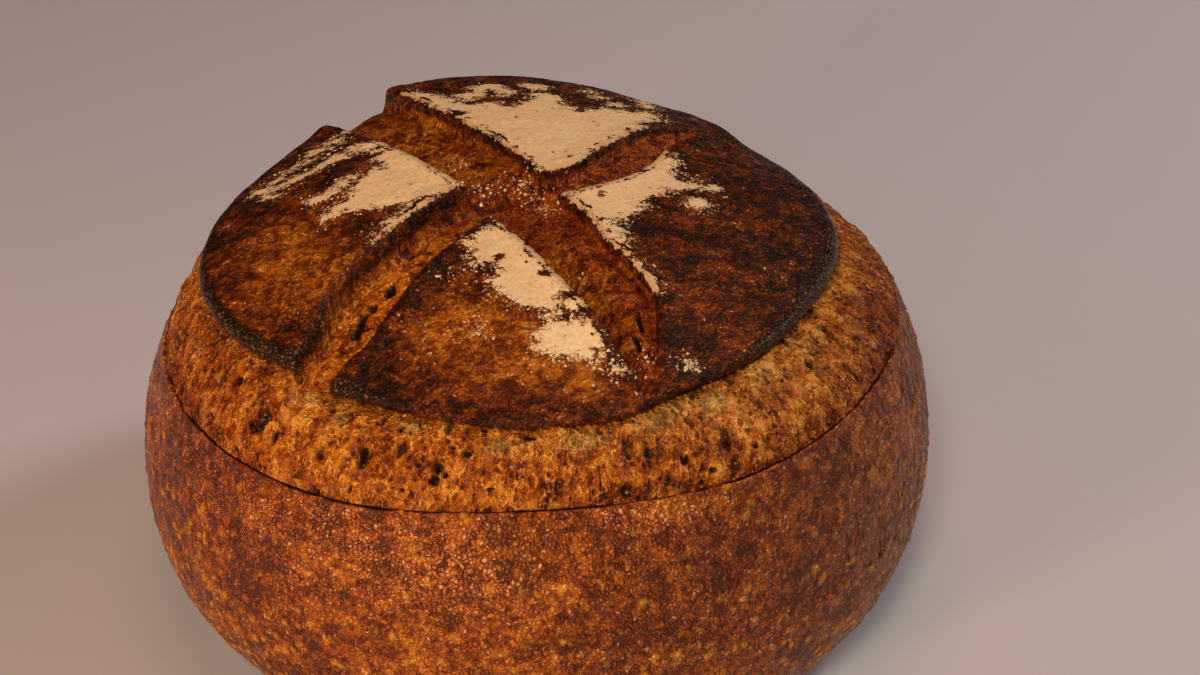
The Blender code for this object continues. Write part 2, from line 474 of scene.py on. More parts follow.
    def cut_surface(self, x: np.ndarray, y: np.ndarray) -> tuple[np.ndarray, np.ndarray]:
        """The cap's top with its score cuts, carried on past the cap's edge.

        Args:
            x: plan positions in metres, of any shape.
            y: the same along +Y.

        Returns:
            Height of the surface, and how far inside a score cut each point is, from 0 to 1.
        """
        flat_x, flat_y = x.ravel() / self.radius, y.ravel() / self.radius
        theta = np.arctan2(flat_y, flat_x)
        share = np.hypot(flat_x, flat_y) * self.radius / self.cap(theta)[0]
        long_places = self.long_cut.places(flat_x, flat_y)
        short_places = self.short_cut.places(flat_x, flat_y)
        carved = self.radius * self.carved(long_places, short_places)
        height = self.dome(share, theta) + self.lift_from(long_places, short_places) - carved
        opened = self.opened(long_places, short_places)
        return height.reshape(x.shape), opened.reshape(x.shape)

    def carved(self, long_places: CutPlaces, short_places: CutPlaces) -> np.ndarray:
        """How deep the two cuts go together, as a share of the radius."""
        deep, shallow = self.long_cut.carve(long_places), self.short_cut.carve(short_places)
        return np.maximum(deep, shallow) + 0.25 * np.minimum(deep, shallow)

    def opened(self, long_places: CutPlaces, short_places: CutPlaces) -> np.ndarray:
        """0 on the petals and 1 on the crumb of either cut."""
        return np.maximum(self.long_cut.opened(long_places), self.short_cut.opened(short_places))

    def petal_lift(self, x: np.ndarray, y: np.ndarray) -> np.ndarray:
        """How much higher the petal over each point in plan stands than the mean dome."""
        flat_x, flat_y = x.ravel() / self.radius, y.ravel() / self.radius
        long_places = self.long_cut.places(flat_x, flat_y)
        short_places = self.short_cut.places(flat_x, flat_y)
        return self.lift_from(long_places, short_places).reshape(x.shape)

    def lift_from(self, long_places: CutPlaces, short_places: CutPlaces) -> np.ndarray:
        """The petals' lift in metres where points stand so with regard to the two cuts."""
        back, left, right, front = self.petal_lifts
        wide, narrow = np.maximum(long_places.width, 0.06), np.maximum(short_places.width, 0.06)
        past_long = smooth_share(long_places.side / wide, -1.0, 1.0)
        past_short = smooth_share(short_places.side / narrow, -1.0, 1.0)
        near_side = mix(front, left, past_short)
        far_side = mix(right, back, past_short)
        return self.radius * mix(near_side, far_side, past_long)


# ---------------------------------------------------------------- meshes


@dataclass
class Skin:
    """A grid of points on the loaf, in rows and columns, and the masks that they carry."""

    points: np.ndarray
    masks: dict[str, np.ndarray] = field(default_factory=dict)
    wraps: bool = True

    def normals(self) -> np.ndarray:
        """Outward unit normals, from the neighbours of each point."""
        if self.wraps:
            padded = np.concatenate([self.points[:, -1:], self.points, self.points[:, :1]], axis=1)
            across = padded[:, 2:] - padded[:, :-2]
        else:
            across = np.gradient(self.points, axis=1)
        along = np.gradient(self.points, axis=0)
        normal = np.cross(along, across)
        normal /= np.maximum(np.linalg.norm(normal, axis=-1, keepdims=True), 1e-12)
        return normal

    def push(self, height: np.ndarray) -> None:
        """Moves every point along its normal by its own height, in metres."""
        self.points = self.points + self.normals() * height[..., None]

    def quads(self) -> np.ndarray:
        """The grid's faces, with the front of each facing out."""
        rows, columns = self.points.shape[:2]
        index = np.arange(rows * columns).reshape(rows, columns)
        if self.wraps:
            index = np.concatenate([index, index[:, :1]], axis=1)
        first, second = index[:-1, :-1], index[:-1, 1:]
        third, fourth = index[1:, 1:], index[1:, :-1]
        return np.stack([first, fourth, third, second], axis=-1)


class PieceMaker:
    """Turns parts of skins into named, dressed pieces that ride with the loaf."""

    def __init__(self) -> None:
        """Starts with no pieces made."""
        self.made: list[bpy.types.Object] = []

    def from_skin(
        self, name: str, skin: Skin, chosen: np.ndarray, material: bpy.types.Material
    ) -> bpy.types.Object:
        """Makes a piece from some of a skin's faces.

        Args:
            name: the piece's name.
            skin: the grid it is cut from.
            chosen: which faces belong to it, in rows and columns.
            material: its finish.

        Returns:
            The new object, on its body.
        """
        quads = skin.quads()[chosen]
        used, faces = np.unique(quads, return_inverse=True)
        points = skin.points.reshape(-1, 3)[used]
        normals = skin.normals().reshape(-1, 3)[used]
        mesh = self.mesh(name, points, faces.reshape(-1, 4))
        mesh.polygons.foreach_set("use_smooth", np.ones(len(mesh.polygons), bool))
        mesh.normals_split_custom_set_from_vertices(normals.astype(np.float32))
        for mask, values in skin.masks.items():
            self.add_mask(mesh, mask, values.reshape(-1)[used])
        return self.place(name, mesh, material)

    @staticmethod
    def mesh(name: str, points: np.ndarray, faces: np.ndarray) -> bpy.types.Mesh:
        """A mesh of points and faces that all have the same number of corners."""
        mesh = bpy.data.meshes.new(name)
        corners = faces.shape[1]
        mesh.vertices.add(len(points))
        mesh.vertices.foreach_set("co", points.astype(np.float32).ravel())
        mesh.loops.add(faces.size)
        mesh.loops.foreach_set("vertex_index", faces.astype(np.int32).ravel())
        mesh.polygons.add(len(faces))
        mesh.polygons.foreach_set("loop_start", np.arange(0, faces.size, corners, dtype=np.int32))
        mesh.update(calc_edges=True)
        return mesh

    @staticmethod
    def add_mask(mesh: bpy.types.Mesh, name: str, values: np.ndarray) -> None:
        """Stores one number for each point of the mesh."""
        layer = mesh.attributes.new(name, "FLOAT", "POINT")
        layer.data.foreach_set("value", values.astype(np.float32))

    def place(self, name: str, mesh: bpy.types.Mesh, material: bpy.types.Material) -> bpy.types.Object:
        """Puts a mesh in the scene as a piece of the loaf."""
        mesh.materials.append(material)
        piece = bpy.data.objects.new(name, mesh)
        bpy.context.scene.collection.objects.link(piece)
        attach(piece, BODY)
        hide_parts(NODE)
        self.made.append(piece)
        log.info("%s: %d faces", name, len(mesh.polygons))
        return piece


# ---------------------------------------------------------------- places on the loaf


def line_gap(x: np.ndarray, y: np.ndarray, points: np.ndarray) -> np.ndarray:
    """Distance in plan from each place to a line of points."""
    start, run = points[:-1], np.diff(points, axis=0)
    length = np.maximum((run**2).sum(axis=1), 1e-12)
    gap = np.full(len(x), 9.0)
    for (start_x, start_y), (run_x, run_y), squared in zip(start, run, length):
        off_x, off_y = x - start_x, y - start_y
        along = np.clip((off_x * run_x + off_y * run_y) / squared, 0.0, 1.0)
        gap = np.minimum(gap, np.hypot(off_x - along * run_x, off_y - along * run_y))
    return gap


@dataclass(frozen=True)
class Outline:
    """A closed outline in plan, its corners as shares of the radius."""

    corners: tuple[tuple[float, float], ...]

    def depth_inside(self, x: np.ndarray, y: np.ndarray) -> np.ndarray:
        """How far inside the outline each place is, negative outside it."""
        ring = np.array(self.corners + self.corners[:1])
        inside = np.zeros(len(x), bool)
        for (from_x, from_y), (to_x, to_y) in zip(ring[:-1], ring[1:]):
            spans = (from_y > y) != (to_y > y)
            rise = to_y - from_y or 1e-9
            inside ^= spans & (x < (to_x - from_x) * (y - from_y) / rise + from_x)
        gap = line_gap(x, y, ring)
        return np.where(inside, gap, -gap)


@dataclass(frozen=True)
class Streak:
    """A narrow streak in plan: its line and its half width, as shares of the radius."""

    points: tuple[tuple[float, float], ...]
    half_width: float

    def depth_inside(self, x: np.ndarray, y: np.ndarray) -> np.ndarray:
        """How far inside the streak each place is, negative outside it."""
        if len(self.points) == 1:
            return self.half_width - np.hypot(x - self.points[0][0], y - self.points[0][1])
        return self.half_width - line_gap(x, y, np.array(self.points))


@dataclass(frozen=True)
class Spot:
    """A soft spot in plan: place and size as shares of the radius, and how strong it is."""

    x: float
    y: float
    size: float
    amount: float = 1.0

    def at(self, x: np.ndarray, y: np.ndarray) -> np.ndarray:
        """The spot's strength at each place."""
        return self.amount * np.exp(-((x - self.x) ** 2 + (y - self.y) ** 2) / self.size**2)


@dataclass(frozen=True)
class Patch:
    """A place on the side crust or the burst band.

    The angle is in degrees from +X towards +Y, the level is a share of the way down (or out), and
    the reaches are in millimetres round the loaf and along its section.
    """

    angle: float
    level: float
    across: float
    along: float
    amount: float = 1.0
    lean: float = 0.0  # degrees from the section's line

    def reach(self, theta: np.ndarray, level: np.ndarray, radius: float, length: float):
        """Distance from the patch's middle, as a share of its reaches.

        Args:
            theta: angles in radians.
            level: shares of the way along the section.
            radius: radius of the loaf there, in metres.
            length: length of the section, in metres.

        Returns:
            0 at the middle and 1 at the patch's border.
        """
        side = angle_gap(theta, math.radians(self.angle)) * radius / MM
        up = (level - self.level) * length / MM
        cos, sin = math.cos(math.radians(self.lean)), math.sin(math.radians(self.lean))
        return np.hypot((side * cos + up * sin) / self.across, (up * cos - side * sin) / self.along)


# ---------------------------------------------------------------- shader nodes


class Graph:
    """A node tree, built with short calls; any value may be a number or another node's output."""

    def __init__(self, tree: bpy.types.NodeTree) -> None:
        """Takes the tree that the calls build on."""
        self.tree = tree

    def node(self, kind: str, **settings) -> bpy.types.Node:
        """A new node of a kind, with its settings."""
        made = self.tree.nodes.new(kind)
        for name, value in settings.items():
            setattr(made, name, value)
        return made

    def feed(self, socket: bpy.types.NodeSocket, value) -> None:
        """Links or sets one input."""
        if isinstance(value, bpy.types.NodeSocket):
            self.tree.links.new(value, socket)
        elif isinstance(value, tuple) and len(value) == 3 and len(socket.default_value) == 4:
            socket.default_value = (*value, 1.0)
        else:
            socket.default_value = value

    def mask(self, name: str) -> bpy.types.NodeSocket:
        """A mask that the mesh's points carry."""
        return self.node("ShaderNodeAttribute", attribute_name=name).outputs["Fac"]

    def place(self) -> bpy.types.NodeSocket:
        """Position on the object, in metres."""
        return self.node("ShaderNodeTexCoord").outputs["Object"]

    def math(self, operation: str, first, second=0.0, third=0.0) -> bpy.types.NodeSocket:
        """One sum on up to three values."""
        made = self.node("ShaderNodeMath", operation=operation)
        for socket, value in zip(made.inputs, (first, second, third)):
            self.feed(socket, value)
        return made.outputs[0]

    def total(self, *parts) -> bpy.types.NodeSocket:
        """The sum of (value, weight) pairs."""
        result = 0.0
        for value, weight in parts:
            result = self.math("MULTIPLY_ADD", value, weight, result)
        return result

    def remap(self, value, low: float, high: float, to_low=0.0, to_high=1.0):
        """Turns low..high into to_low..to_high, holding it at both ends."""
        made = self.node("ShaderNodeMapRange", interpolation_type="SMOOTHSTEP")
        for name, given in zip(
            ("Value", "From Min", "From Max", "To Min", "To Max"),
            (value, low, high, to_low, to_high),
        ):
            self.feed(made.inputs[name], given)
        return made.outputs["Result"]

    def blend(self, share, first, second, kind: str = "MIX") -> bpy.types.NodeSocket:
        """Two colours mixed by a share."""
        made = self.node("ShaderNodeMix", data_type="RGBA", blend_type=kind)
        self.feed(made.inputs[0], share)
        self.feed(made.inputs[6], first)
        self.feed(made.inputs[7], second)
        return made.outputs[2]

    def noise(self, place, size: float, detail=3.0, roughness=0.55, warp=0.0):
        """Cloudy noise from 0 to 1, its coarsest features this size in metres."""
        made = self.node("ShaderNodeTexNoise")
        self.feed(made.inputs["Vector"], place)
        made.inputs["Scale"].default_value = 1.0 / size
        made.inputs["Detail"].default_value = detail
        made.inputs["Roughness"].default_value = roughness
        made.inputs["Distortion"].default_value = warp
        return made.outputs["Fac"]

    def ridges(self, place, size: float, width: float, detail: float = 1.0):
        """Wandering narrow ridges about this far apart: 1 along each crest, 0 off the ridge."""
        cloud = self.noise(place, size, detail, 0.5)
        off = self.math("ABSOLUTE", self.math("SUBTRACT", cloud, 0.5))
        return self.remap(off, 0.0, width, 1.0, 0.0)

    def cells(self, place, size: float, feature: str = "F1") -> bpy.types.NodeSocket:
        """Distance inside scattered cells of this mean size in metres."""
        made = self.node("ShaderNodeTexVoronoi", feature=feature)
        self.feed(made.inputs["Vector"], place)
        made.inputs["Scale"].default_value = 1.0 / size
        return made.outputs["Distance"]

    def pebbles(self, place, size: float) -> tuple[bpy.types.NodeSocket, ...]:
        """Packed grains: the distance from each one's middle, and two random shares of its own."""
        made = self.node("ShaderNodeTexVoronoi")
        self.feed(made.inputs["Vector"], place)
        made.inputs["Scale"].default_value = 1.0 / size
        own = self.node("ShaderNodeSeparateColor")
        self.feed(own.inputs["Color"], made.outputs["Color"])
        return made.outputs["Distance"], own.outputs["Red"], own.outputs["Green"]

    def shaken(self, place, size: float, reach: float) -> bpy.types.NodeSocket:
        """The place, moved about at random by up to a reach, over distances of this size."""
        cloud = self.node("ShaderNodeTexNoise")
        self.feed(cloud.inputs["Vector"], place)
        cloud.inputs["Scale"].default_value = 1.0 / size
        cloud.inputs["Detail"].default_value = 1.0
        made = self.node("ShaderNodeVectorMath", operation="MULTIPLY_ADD")
        self.feed(made.inputs[0], cloud.outputs["Color"])
        made.inputs[1].default_value = (reach, reach, reach)
        self.feed(made.inputs[2], place)
        return made.outputs[0]

    def stretched(self, place, scale: tuple[float, float, float]) -> bpy.types.NodeSocket:
        """The place scaled along each axis, which stretches what is read there."""
        made = self.node("ShaderNodeVectorMath", operation="MULTIPLY")
        self.feed(made.inputs[0], place)
        made.inputs[1].default_value = scale
        return made.outputs[0]

    def ramp(self, value, stops: tuple) -> bpy.types.NodeSocket:
        """A colour for each value, from (position, colour) stops."""
        made = self.node("ShaderNodeValToRGB")
        elements = made.color_ramp.elements
        while len(elements) < len(stops):
            elements.new(0.5)
        for element, (position, colour) in zip(elements, stops):
            element.position = position
            element.color = (*colour, 1.0)
        self.feed(made.inputs[0], value)
        return made.outputs["Color"]

    def bump(self, height, distance: float, strength: float = 1.0, normal=None):
        """A normal from a height that is 1 at this distance in metres."""
        made = self.node("ShaderNodeBump")
        made.inputs["Strength"].default_value = strength
        made.inputs["Distance"].default_value = distance
        self.feed(made.inputs["Height"], height)
        if normal is not None:
            self.feed(made.inputs["Normal"], normal)
        return made.outputs["Normal"]

    def group(self, tree: bpy.types.NodeTree, **values) -> bpy.types.Node:
        """Places a node group; an input's name has its spaces as underscores."""
        made = self.node("ShaderNodeGroup", node_tree=tree)
        for name, value in values.items():
            self.feed(made.inputs[name.replace("_", " ").capitalize()], value)
        return made


class Effect:
    """A node group with named sockets, for an effect that several finishes share."""

    KINDS = {"value": "NodeSocketFloat", "colour": "NodeSocketColor", "place": "NodeSocketVector"}

    def __init__(self, name: str, inputs: dict[str, str], outputs: dict[str, str]) -> None:
        """Makes the group and its sockets.

        Args:
            name: the group's name.
            inputs: each input's name and kind.
            outputs: each output's name and kind.
        """
        self.tree = bpy.data.node_groups.new(name, "ShaderNodeTree")
        for given, direction in ((inputs, "INPUT"), (outputs, "OUTPUT")):
            for label, kind in given.items():
                self.tree.interface.new_socket(label, in_out=direction, socket_type=self.KINDS[kind])
        self.graph = Graph(self.tree)
        self.given = self.graph.node("NodeGroupInput").outputs
        self.result = self.graph.node("NodeGroupOutput").inputs

    def give(self, name: str, value) -> None:
        """Feeds one of the group's outputs."""
        self.graph.feed(self.result[name], value)


class Effects:
    """The shared node groups, each built once."""

    def __init__(self) -> None:
        """Builds every group."""
        self.grain = self.baked_grain()
        self.crumb = self.torn_crumb()
        self.char = self.charring()
        self.flour = self.flour_dust()

    @staticmethod
    def baked_grain() -> bpy.types.NodeTree:
        """The granular, blistered skin of baked crust, with glints painted on some of its grains."""
        effect = Effect(
            "Baked grain",
            {"Place": "place", "Shine": "value"},
            {
                "Grain": "value", "Mottle": "value", "Clouds": "value", "Glints": "value",
                "Height": "value",
            },
        )
        graph, place = effect.graph, effect.given["Place"]
        shaken = graph.shaken(place, 2.0 * MM, 1.9 * MM)
        near, own, chance = graph.pebbles(shaken, 1.15 * MM)
        edge = graph.cells(shaken, 1.15 * MM, "DISTANCE_TO_EDGE")
        dome = graph.remap(near, 0.05, 0.66, 1.0, 0.0)
        valley = graph.remap(edge, 0.0, 0.15, 1.0, 0.0)
        close, small_own, small_chance = graph.pebbles(graph.shaken(place, 1.0 * MM, 0.6 * MM), 0.80 * MM)
        small = graph.remap(close, 0.06, 0.58, 1.0, 0.0)
        # Painted glints: light marks painted near some grains' tops, more of them where Shine is high.
        reach = graph.total((own, 0.22), (1.0, 0.16))
        glint = graph.remap(graph.math("SUBTRACT", reach, near), -0.14, 0.10)
        picked = graph.remap(graph.total((chance, 1.0), (effect.given["Shine"], 0.32)), 0.74, 0.90)
        glint = graph.math("MULTIPLY", glint, picked)
        # More painted glints: small light specks painted on some of the small grains.
        dust = graph.remap(close, 0.14, 0.32, 1.0, 0.0)
        dust = graph.math("MULTIPLY", dust, graph.remap(small_chance, 0.72, 0.82, 0.0, 0.5))
        fine = graph.remap(graph.noise(place, 0.8 * MM, 2.0, 0.6), 0.30, 0.70)
        middle = graph.noise(shaken, 3.2 * MM, 4.0, 0.62, 0.8)
        mottle = graph.noise(place, 9.0 * MM, 4.0, 0.60, 0.5)
        tone = graph.total(
            (dome, 0.30), (own, 0.24), (small, 0.16), (small_own, 0.12), (fine, 0.26), (valley, -0.18),
            (1.0, 0.02),
        )
        effect.give("Grain", tone)
        effect.give("Mottle", graph.remap(middle, 0.34, 0.66))
        effect.give("Clouds", graph.remap(mottle, 0.36, 0.64))
        effect.give("Glints", graph.math("MAXIMUM", glint, dust))
        swells = graph.noise(shaken, 3.0 * MM, 0.0, 0.5)
        height = graph.total(
            (dome, 0.34), (own, 0.12), (small, 0.10), (valley, -0.16), (swells, 0.9), (fine, 0.03)
        )
        effect.give("Height", height)
        return effect.tree

    @staticmethod
    def torn_crumb() -> bpy.types.NodeTree:
        """The web of strands and pores of crumb that tore open as it baked, with painted shade in pits and pores."""
        effect = Effect(
            "Torn crumb",
            {"Place": "place", "Straw": "value", "Pore": "value", "Toast": "value", "Rise": "value"},
            {"Color": "colour", "Height": "value"},
        )
        graph, given = effect.graph, effect.given
        place = given["Place"]
        pulled = graph.stretched(place, (1.0, 1.0, 0.55))
        shaken = graph.shaken(pulled, 2.4 * MM, 2.4 * MM)
        strands = graph.ridges(shaken, 3.0 * MM, 0.050, 1.0)
        threads = graph.ridges(graph.shaken(place, 1.6 * MM, 1.4 * MM), 1.7 * MM, 0.055, 1.0)
        pits = graph.remap(graph.cells(shaken, 1.9 * MM), 0.12, 0.40, 1.0, 0.0)
        fine = graph.remap(graph.noise(place, 0.8 * MM, 2.0, 0.6), 0.30, 0.70)
        wide = graph.remap(graph.noise(place, 9.0 * MM, 3.0, 0.6, 0.6), 0.36, 0.64)
        middle = graph.remap(graph.noise(shaken, 3.0 * MM, 3.0, 0.6), 0.32, 0.68)
        # Pits are made darker: painted shade in the small pits.
        tone = graph.total(
            (strands, 0.26), (threads, 0.22), (fine, 0.14), (middle, 0.26), (wide, 0.20),
            (pits, -0.24), (given["Rise"], 0.50), (1.0, -0.20),
        )
        baked = graph.ramp(
            tone,
            (
                (0.06, (0.050, 0.007, 0.001)),
                (0.26, (0.200, 0.034, 0.002)),
                (0.45, (0.440, 0.098, 0.004)),
                (0.64, (0.760, 0.250, 0.010)),
                (0.88, (1.000, 0.540, 0.130)),
            ),
        )
        straw = graph.ramp(
            tone,
            (
                (0.05, (0.090, 0.040, 0.008)),
                (0.32, (0.300, 0.150, 0.030)),
                (0.56, (0.620, 0.340, 0.080)),
                (0.90, (0.920, 0.640, 0.280)),
            ),
        )
        toasted = graph.blend(given["Toast"], baked, (0.46, 0.28, 0.22), "MULTIPLY")
        colour = graph.blend(given["Straw"], toasted, straw)
        # Pores are painted near black: painted shade inside the holes.
        effect.give("Color", graph.blend(given["Pore"], colour, (0.020, 0.004, 0.001)))
        height = graph.total(
            (strands, 0.50), (threads, 0.34), (fine, 0.10), (middle, 0.35), (pits, -0.6)
        )
        effect.give("Height", height)
        return effect.tree

    @staticmethod
    def charring() -> bpy.types.NodeTree:
        """Where the oven turned the crust black, patchy at its border."""
        effect = Effect(
            "Charring",
            {"Color": "colour", "Char": "value", "Grain": "value", "Place": "place"},
            {"Color": "colour"},
        )
        graph, given = effect.graph, effect.given
        patchy = graph.noise(given["Place"], 3.6 * MM, 4.0, 0.70)
        level = graph.total((given["Char"], 1.0), (patchy, 1.1), (given["Grain"], -0.45))
        burnt = graph.remap(level, 0.45, 1.25)
        black = graph.ramp(
            given["Grain"],
            ((0.28, (0.011, 0.005, 0.002)), (0.50, (0.050, 0.020, 0.009)), (0.76, (0.27, 0.100, 0.034))),
        )
        brown = graph.blend(burnt, given["Color"], (0.20, 0.12, 0.09), "MULTIPLY")
        effect.give("Color", graph.blend(graph.remap(burnt, 0.60, 1.0), brown, black))
        return effect.tree

    @staticmethod
    def flour_dust() -> bpy.types.NodeTree:
        """Flour baked on to the crust: ragged, with loose specks round it, toasted where thin."""
        effect = Effect(
            "Flour dust",
            {"Cover": "value", "Toast": "value", "Grain": "value", "Place": "place"},
            {"Color": "colour", "Mask": "value", "Height": "value"},
        )
        graph, given = effect.graph, effect.given
        place, cover = given["Place"], given["Cover"]
        firm = graph.remap(given["Toast"], 0.30, 0.60)
        ragged = graph.noise(place, 2.4 * MM, 5.0, 0.78)
        ragged = graph.total((ragged, 1.0), (graph.math("MULTIPLY", firm, graph.math("SUBTRACT", 0.55, ragged)), 0.8))
        worn = graph.remap(graph.noise(place, 3.4 * MM, 5.0, 0.72), 0.56, 0.70)
        level = graph.total(
            (cover, 1.0), (ragged, 1.5), (worn, -0.55), (given["Grain"], 0.50), (1.0, -0.94)
        )
        patch = graph.remap(level, 0.42, 0.62)
        grains = graph.node("ShaderNodeTexVoronoi")
        graph.feed(grains.inputs["Vector"], place)
        grains.inputs["Scale"].default_value = 1.0 / (0.95 * MM)
        chance = graph.node("ShaderNodeSeparateColor")
        graph.feed(chance.inputs["Color"], grains.outputs["Color"])
        size = graph.total((cover, 0.9), (chance.outputs["Red"], 0.55))
        size = graph.math("SUBTRACT", size, 0.62)
        specks = graph.remap(graph.math("SUBTRACT", size, grains.outputs["Distance"]), 0.0, 0.10)
        mask = graph.math("MAXIMUM", patch, specks)
        pale = graph.noise(place, 1.6 * MM, 5.0, 0.70)
        core = graph.ramp(
            pale,
            ((0.28, (0.84, 0.48, 0.22)), (0.44, (0.98, 0.66, 0.37)), (0.62, (1.00, 0.81, 0.56))),
        )
        thin = graph.remap(level, 0.46, 0.80, 1.0, 0.0)
        browned = graph.math("MAXIMUM", given["Toast"], graph.math("MULTIPLY", thin, 0.6))
        effect.give("Color", graph.blend(browned, core, (0.52, 0.25, 0.080)))
        effect.give("Mask", mask)
        effect.give("Height", graph.total((mask, 0.7), (pale, 0.5), (ragged, 0.3)))
        return effect.tree


# ---------------------------------------------------------------- finishes


@dataclass(frozen=True)
class Gloss:
    """How a finish takes the light."""

    roughness: tuple[float, float]  # on its high points and in its hollows
    specular: float = 0.5
    sheen: float = 0.0
    bump: float = 0.22 * MM
    strength: float = 1.0
    coat_roughness: float = 0.28


def shader_of(graph: Graph, gloss: Gloss, colour, height, polish, coat=0.0) -> None:
    """Ends a material: one Principled shader with colour, roughness and relief.

    Args:
        graph: the material's node tree.
        gloss: how the finish takes the light.
        colour: output that gives its colour.
        height: output that gives its fine relief.
        polish: output that is 1 where the surface is glossiest.
        coat: output or number that says how much clear glaze lies over it.
    """
    shader = graph.node("ShaderNodeBsdfPrincipled")
    graph.feed(shader.inputs["Base Color"], colour)
    smooth, rough = gloss.roughness
    graph.feed(shader.inputs["Roughness"], graph.remap(polish, 0.0, 1.0, rough, smooth))
    shader.inputs["Specular IOR Level"].default_value = gloss.specular
    shader.inputs["Sheen Weight"].default_value = gloss.sheen
    shader.inputs["Coat Roughness"].default_value = gloss.coat_roughness
    graph.feed(shader.inputs["Coat Weight"], coat)
    graph.feed(shader.inputs["Normal"], graph.bump(height, gloss.bump, gloss.strength))
    end = graph.node("ShaderNodeOutputMaterial")
    graph.feed(end.inputs["Surface"], shader.outputs["BSDF"])


def new_material(name: str) -> tuple[bpy.types.Material, Graph]:
    """An empty material and the graph that builds it."""
    material = bpy.data.materials.new(name)
    material.use_nodes = True
    material.node_tree.nodes.clear()
    return material, Graph(material.node_tree)


@dataclass(frozen=True)
class SideCrustFinish:
    """Glossy blistered crust, red-brown with orange blisters, and a painted sheen and glints."""

    gloss: Gloss = Gloss(roughness=(0.20, 0.34), specular=0.27, bump=0.72 * MM)
    hollow: tuple[float, float, float] = (0.090, 0.014, 0.001)
    low: tuple[float, float, float] = (0.210, 0.038, 0.002)
    middle: tuple[float, float, float] = (0.380, 0.088, 0.005)
    high: tuple[float, float, float] = (0.640, 0.215, 0.012)
    blister: tuple[float, float, float] = (0.820, 0.340, 0.025)
    # Colours of the painted sheen and of the painted glints.
    painted_sheen: tuple[float, float, float] = (0.720, 0.310, 0.180)
    tip: tuple[float, float, float] = (1.000, 0.620, 0.380)

    def material(self, effects: Effects) -> bpy.types.Material:
        """Builds the finish from the shared effects."""
        material, graph = new_material("side_crust")
        place = graph.place()
        # The sheen mask marks where a highlight is painted on the grains.
        sheen = graph.mask("sheen")
        grain = graph.group(effects.grain, place=place, shine=sheen).outputs
        tone = graph.total(
            (grain["Grain"], 0.40),
            (grain["Mottle"], 0.38),
            (grain["Clouds"], 0.18),
            (graph.mask("relief"), 0.16),
            (graph.mask("amber"), 0.18),
            # Painted highlight and shade: tops lighter and hollows darker where the sheen is painted.
            (graph.math("MULTIPLY", sheen, graph.math("SUBTRACT", grain["Grain"], 0.45)), 0.40),
            (1.0, -0.23),
        )
        skin = graph.ramp(
            tone,
            (
                (0.14, self.hollow), (0.32, self.low), (0.52, self.middle), (0.74, self.high),
                (0.94, self.blister),
            ),
        )
        lit = graph.blend(graph.mask("blister"), skin, self.blister)
        # Painted sheen: a rosy highlight painted on the grains' tops.
        painted_sheen_share = graph.math("MULTIPLY", sheen, graph.remap(grain["Grain"], 0.28, 0.80, 0.0, 0.50))
        lit = graph.blend(painted_sheen_share, lit, self.painted_sheen)
        # Painted glints: light specks painted on some grains' tops.
        painted_glints = graph.math("MULTIPLY", grain["Glints"], graph.remap(tone, 0.20, 0.65, 0.08, 0.50))
        lit = graph.blend(painted_glints, lit, self.tip)
        burnt = graph.group(
            effects.char, color=lit, char=graph.mask("char"), grain=grain["Grain"], place=place
        )
        shader_of(graph, self.gloss, burnt.outputs["Color"], grain["Height"], grain["Mottle"])
        return material


@dataclass(frozen=True)
class TopCrustFinish:
    """The cap: dark crust with flour and painted glints, and the torn crumb of the score cuts."""

    gloss: Gloss = Gloss(roughness=(0.26, 0.50), specular=0.16, bump=0.55 * MM)
    hollow: tuple[float, float, float] = (0.014, 0.003, 0.001)
    low: tuple[float, float, float] = (0.070, 0.011, 0.001)
    middle: tuple[float, float, float] = (0.210, 0.038, 0.002)
    high: tuple[float, float, float] = (0.620, 0.200, 0.010)
    # Colour of the painted glints.
    tip: tuple[float, float, float] = (0.960, 0.560, 0.280)

    def material(self, effects: Effects) -> bpy.types.Material:
        """Builds the finish from the shared effects."""
        material, graph = new_material("top_crust")
        place = graph.place()
        amber = graph.mask("amber")
        grain = graph.group(effects.grain, place=place, shine=graph.math("MULTIPLY", amber, 0.2)).outputs
        tone = graph.total(
            (grain["Grain"], 0.36),
            (grain["Mottle"], 0.36),
            (grain["Clouds"], 0.18),
            (graph.mask("relief"), 0.12),
            (amber, 0.32),
            (1.0, -0.20),
        )
        skin = graph.ramp(
            tone,
            ((0.10, self.hollow), (0.30, self.low), (0.52, self.middle), (0.90, self.high)),
        )
        crumb = graph.group(
            effects.crumb,
            place=place,
            straw=graph.mask("straw"),
            pore=graph.mask("pore"),
            toast=graph.mask("toast"),
            rise=graph.mask("relief"),
        ).outputs
        # Painted glints: cream specks painted on some grains' tops, in clusters.
        painted_glints = graph.math("MULTIPLY", grain["Glints"], graph.remap(tone, 0.25, 0.75, 0.04, 0.75))
        painted_glints = graph.math("MULTIPLY", painted_glints, graph.remap(grain["Clouds"], 0.40, 0.95, 0.15, 1.0))
        skin = graph.blend(painted_glints, skin, self.tip)
        torn = graph.remap(graph.mask("crumb"), 0.35, 0.65)
        body = graph.blend(torn, skin, crumb["Color"])
        burnt = graph.group(
            effects.char, color=body, char=graph.mask("char"), grain=grain["Grain"], place=place
        )
        flour = graph.group(
            effects.flour,
            cover=graph.mask("flour"),
            toast=graph.mask("flour_toast"),
            grain=grain["Grain"],
            place=place,
        ).outputs
        colour = graph.blend(flour["Mask"], burnt.outputs["Color"], flour["Color"])
        bare = graph.math("SUBTRACT", 1.0, flour["Mask"])
        height = graph.total((grain["Height"], bare), (flour["Height"], 0.8))
        char = graph.mask("char")
        polish = graph.math("MULTIPLY", bare, graph.math("MAXIMUM", grain["Mottle"], char))
        glaze = graph.math("MULTIPLY", bare, graph.mask("glaze"))
        shader_of(graph, self.gloss, colour, height, polish, glaze)
        return material


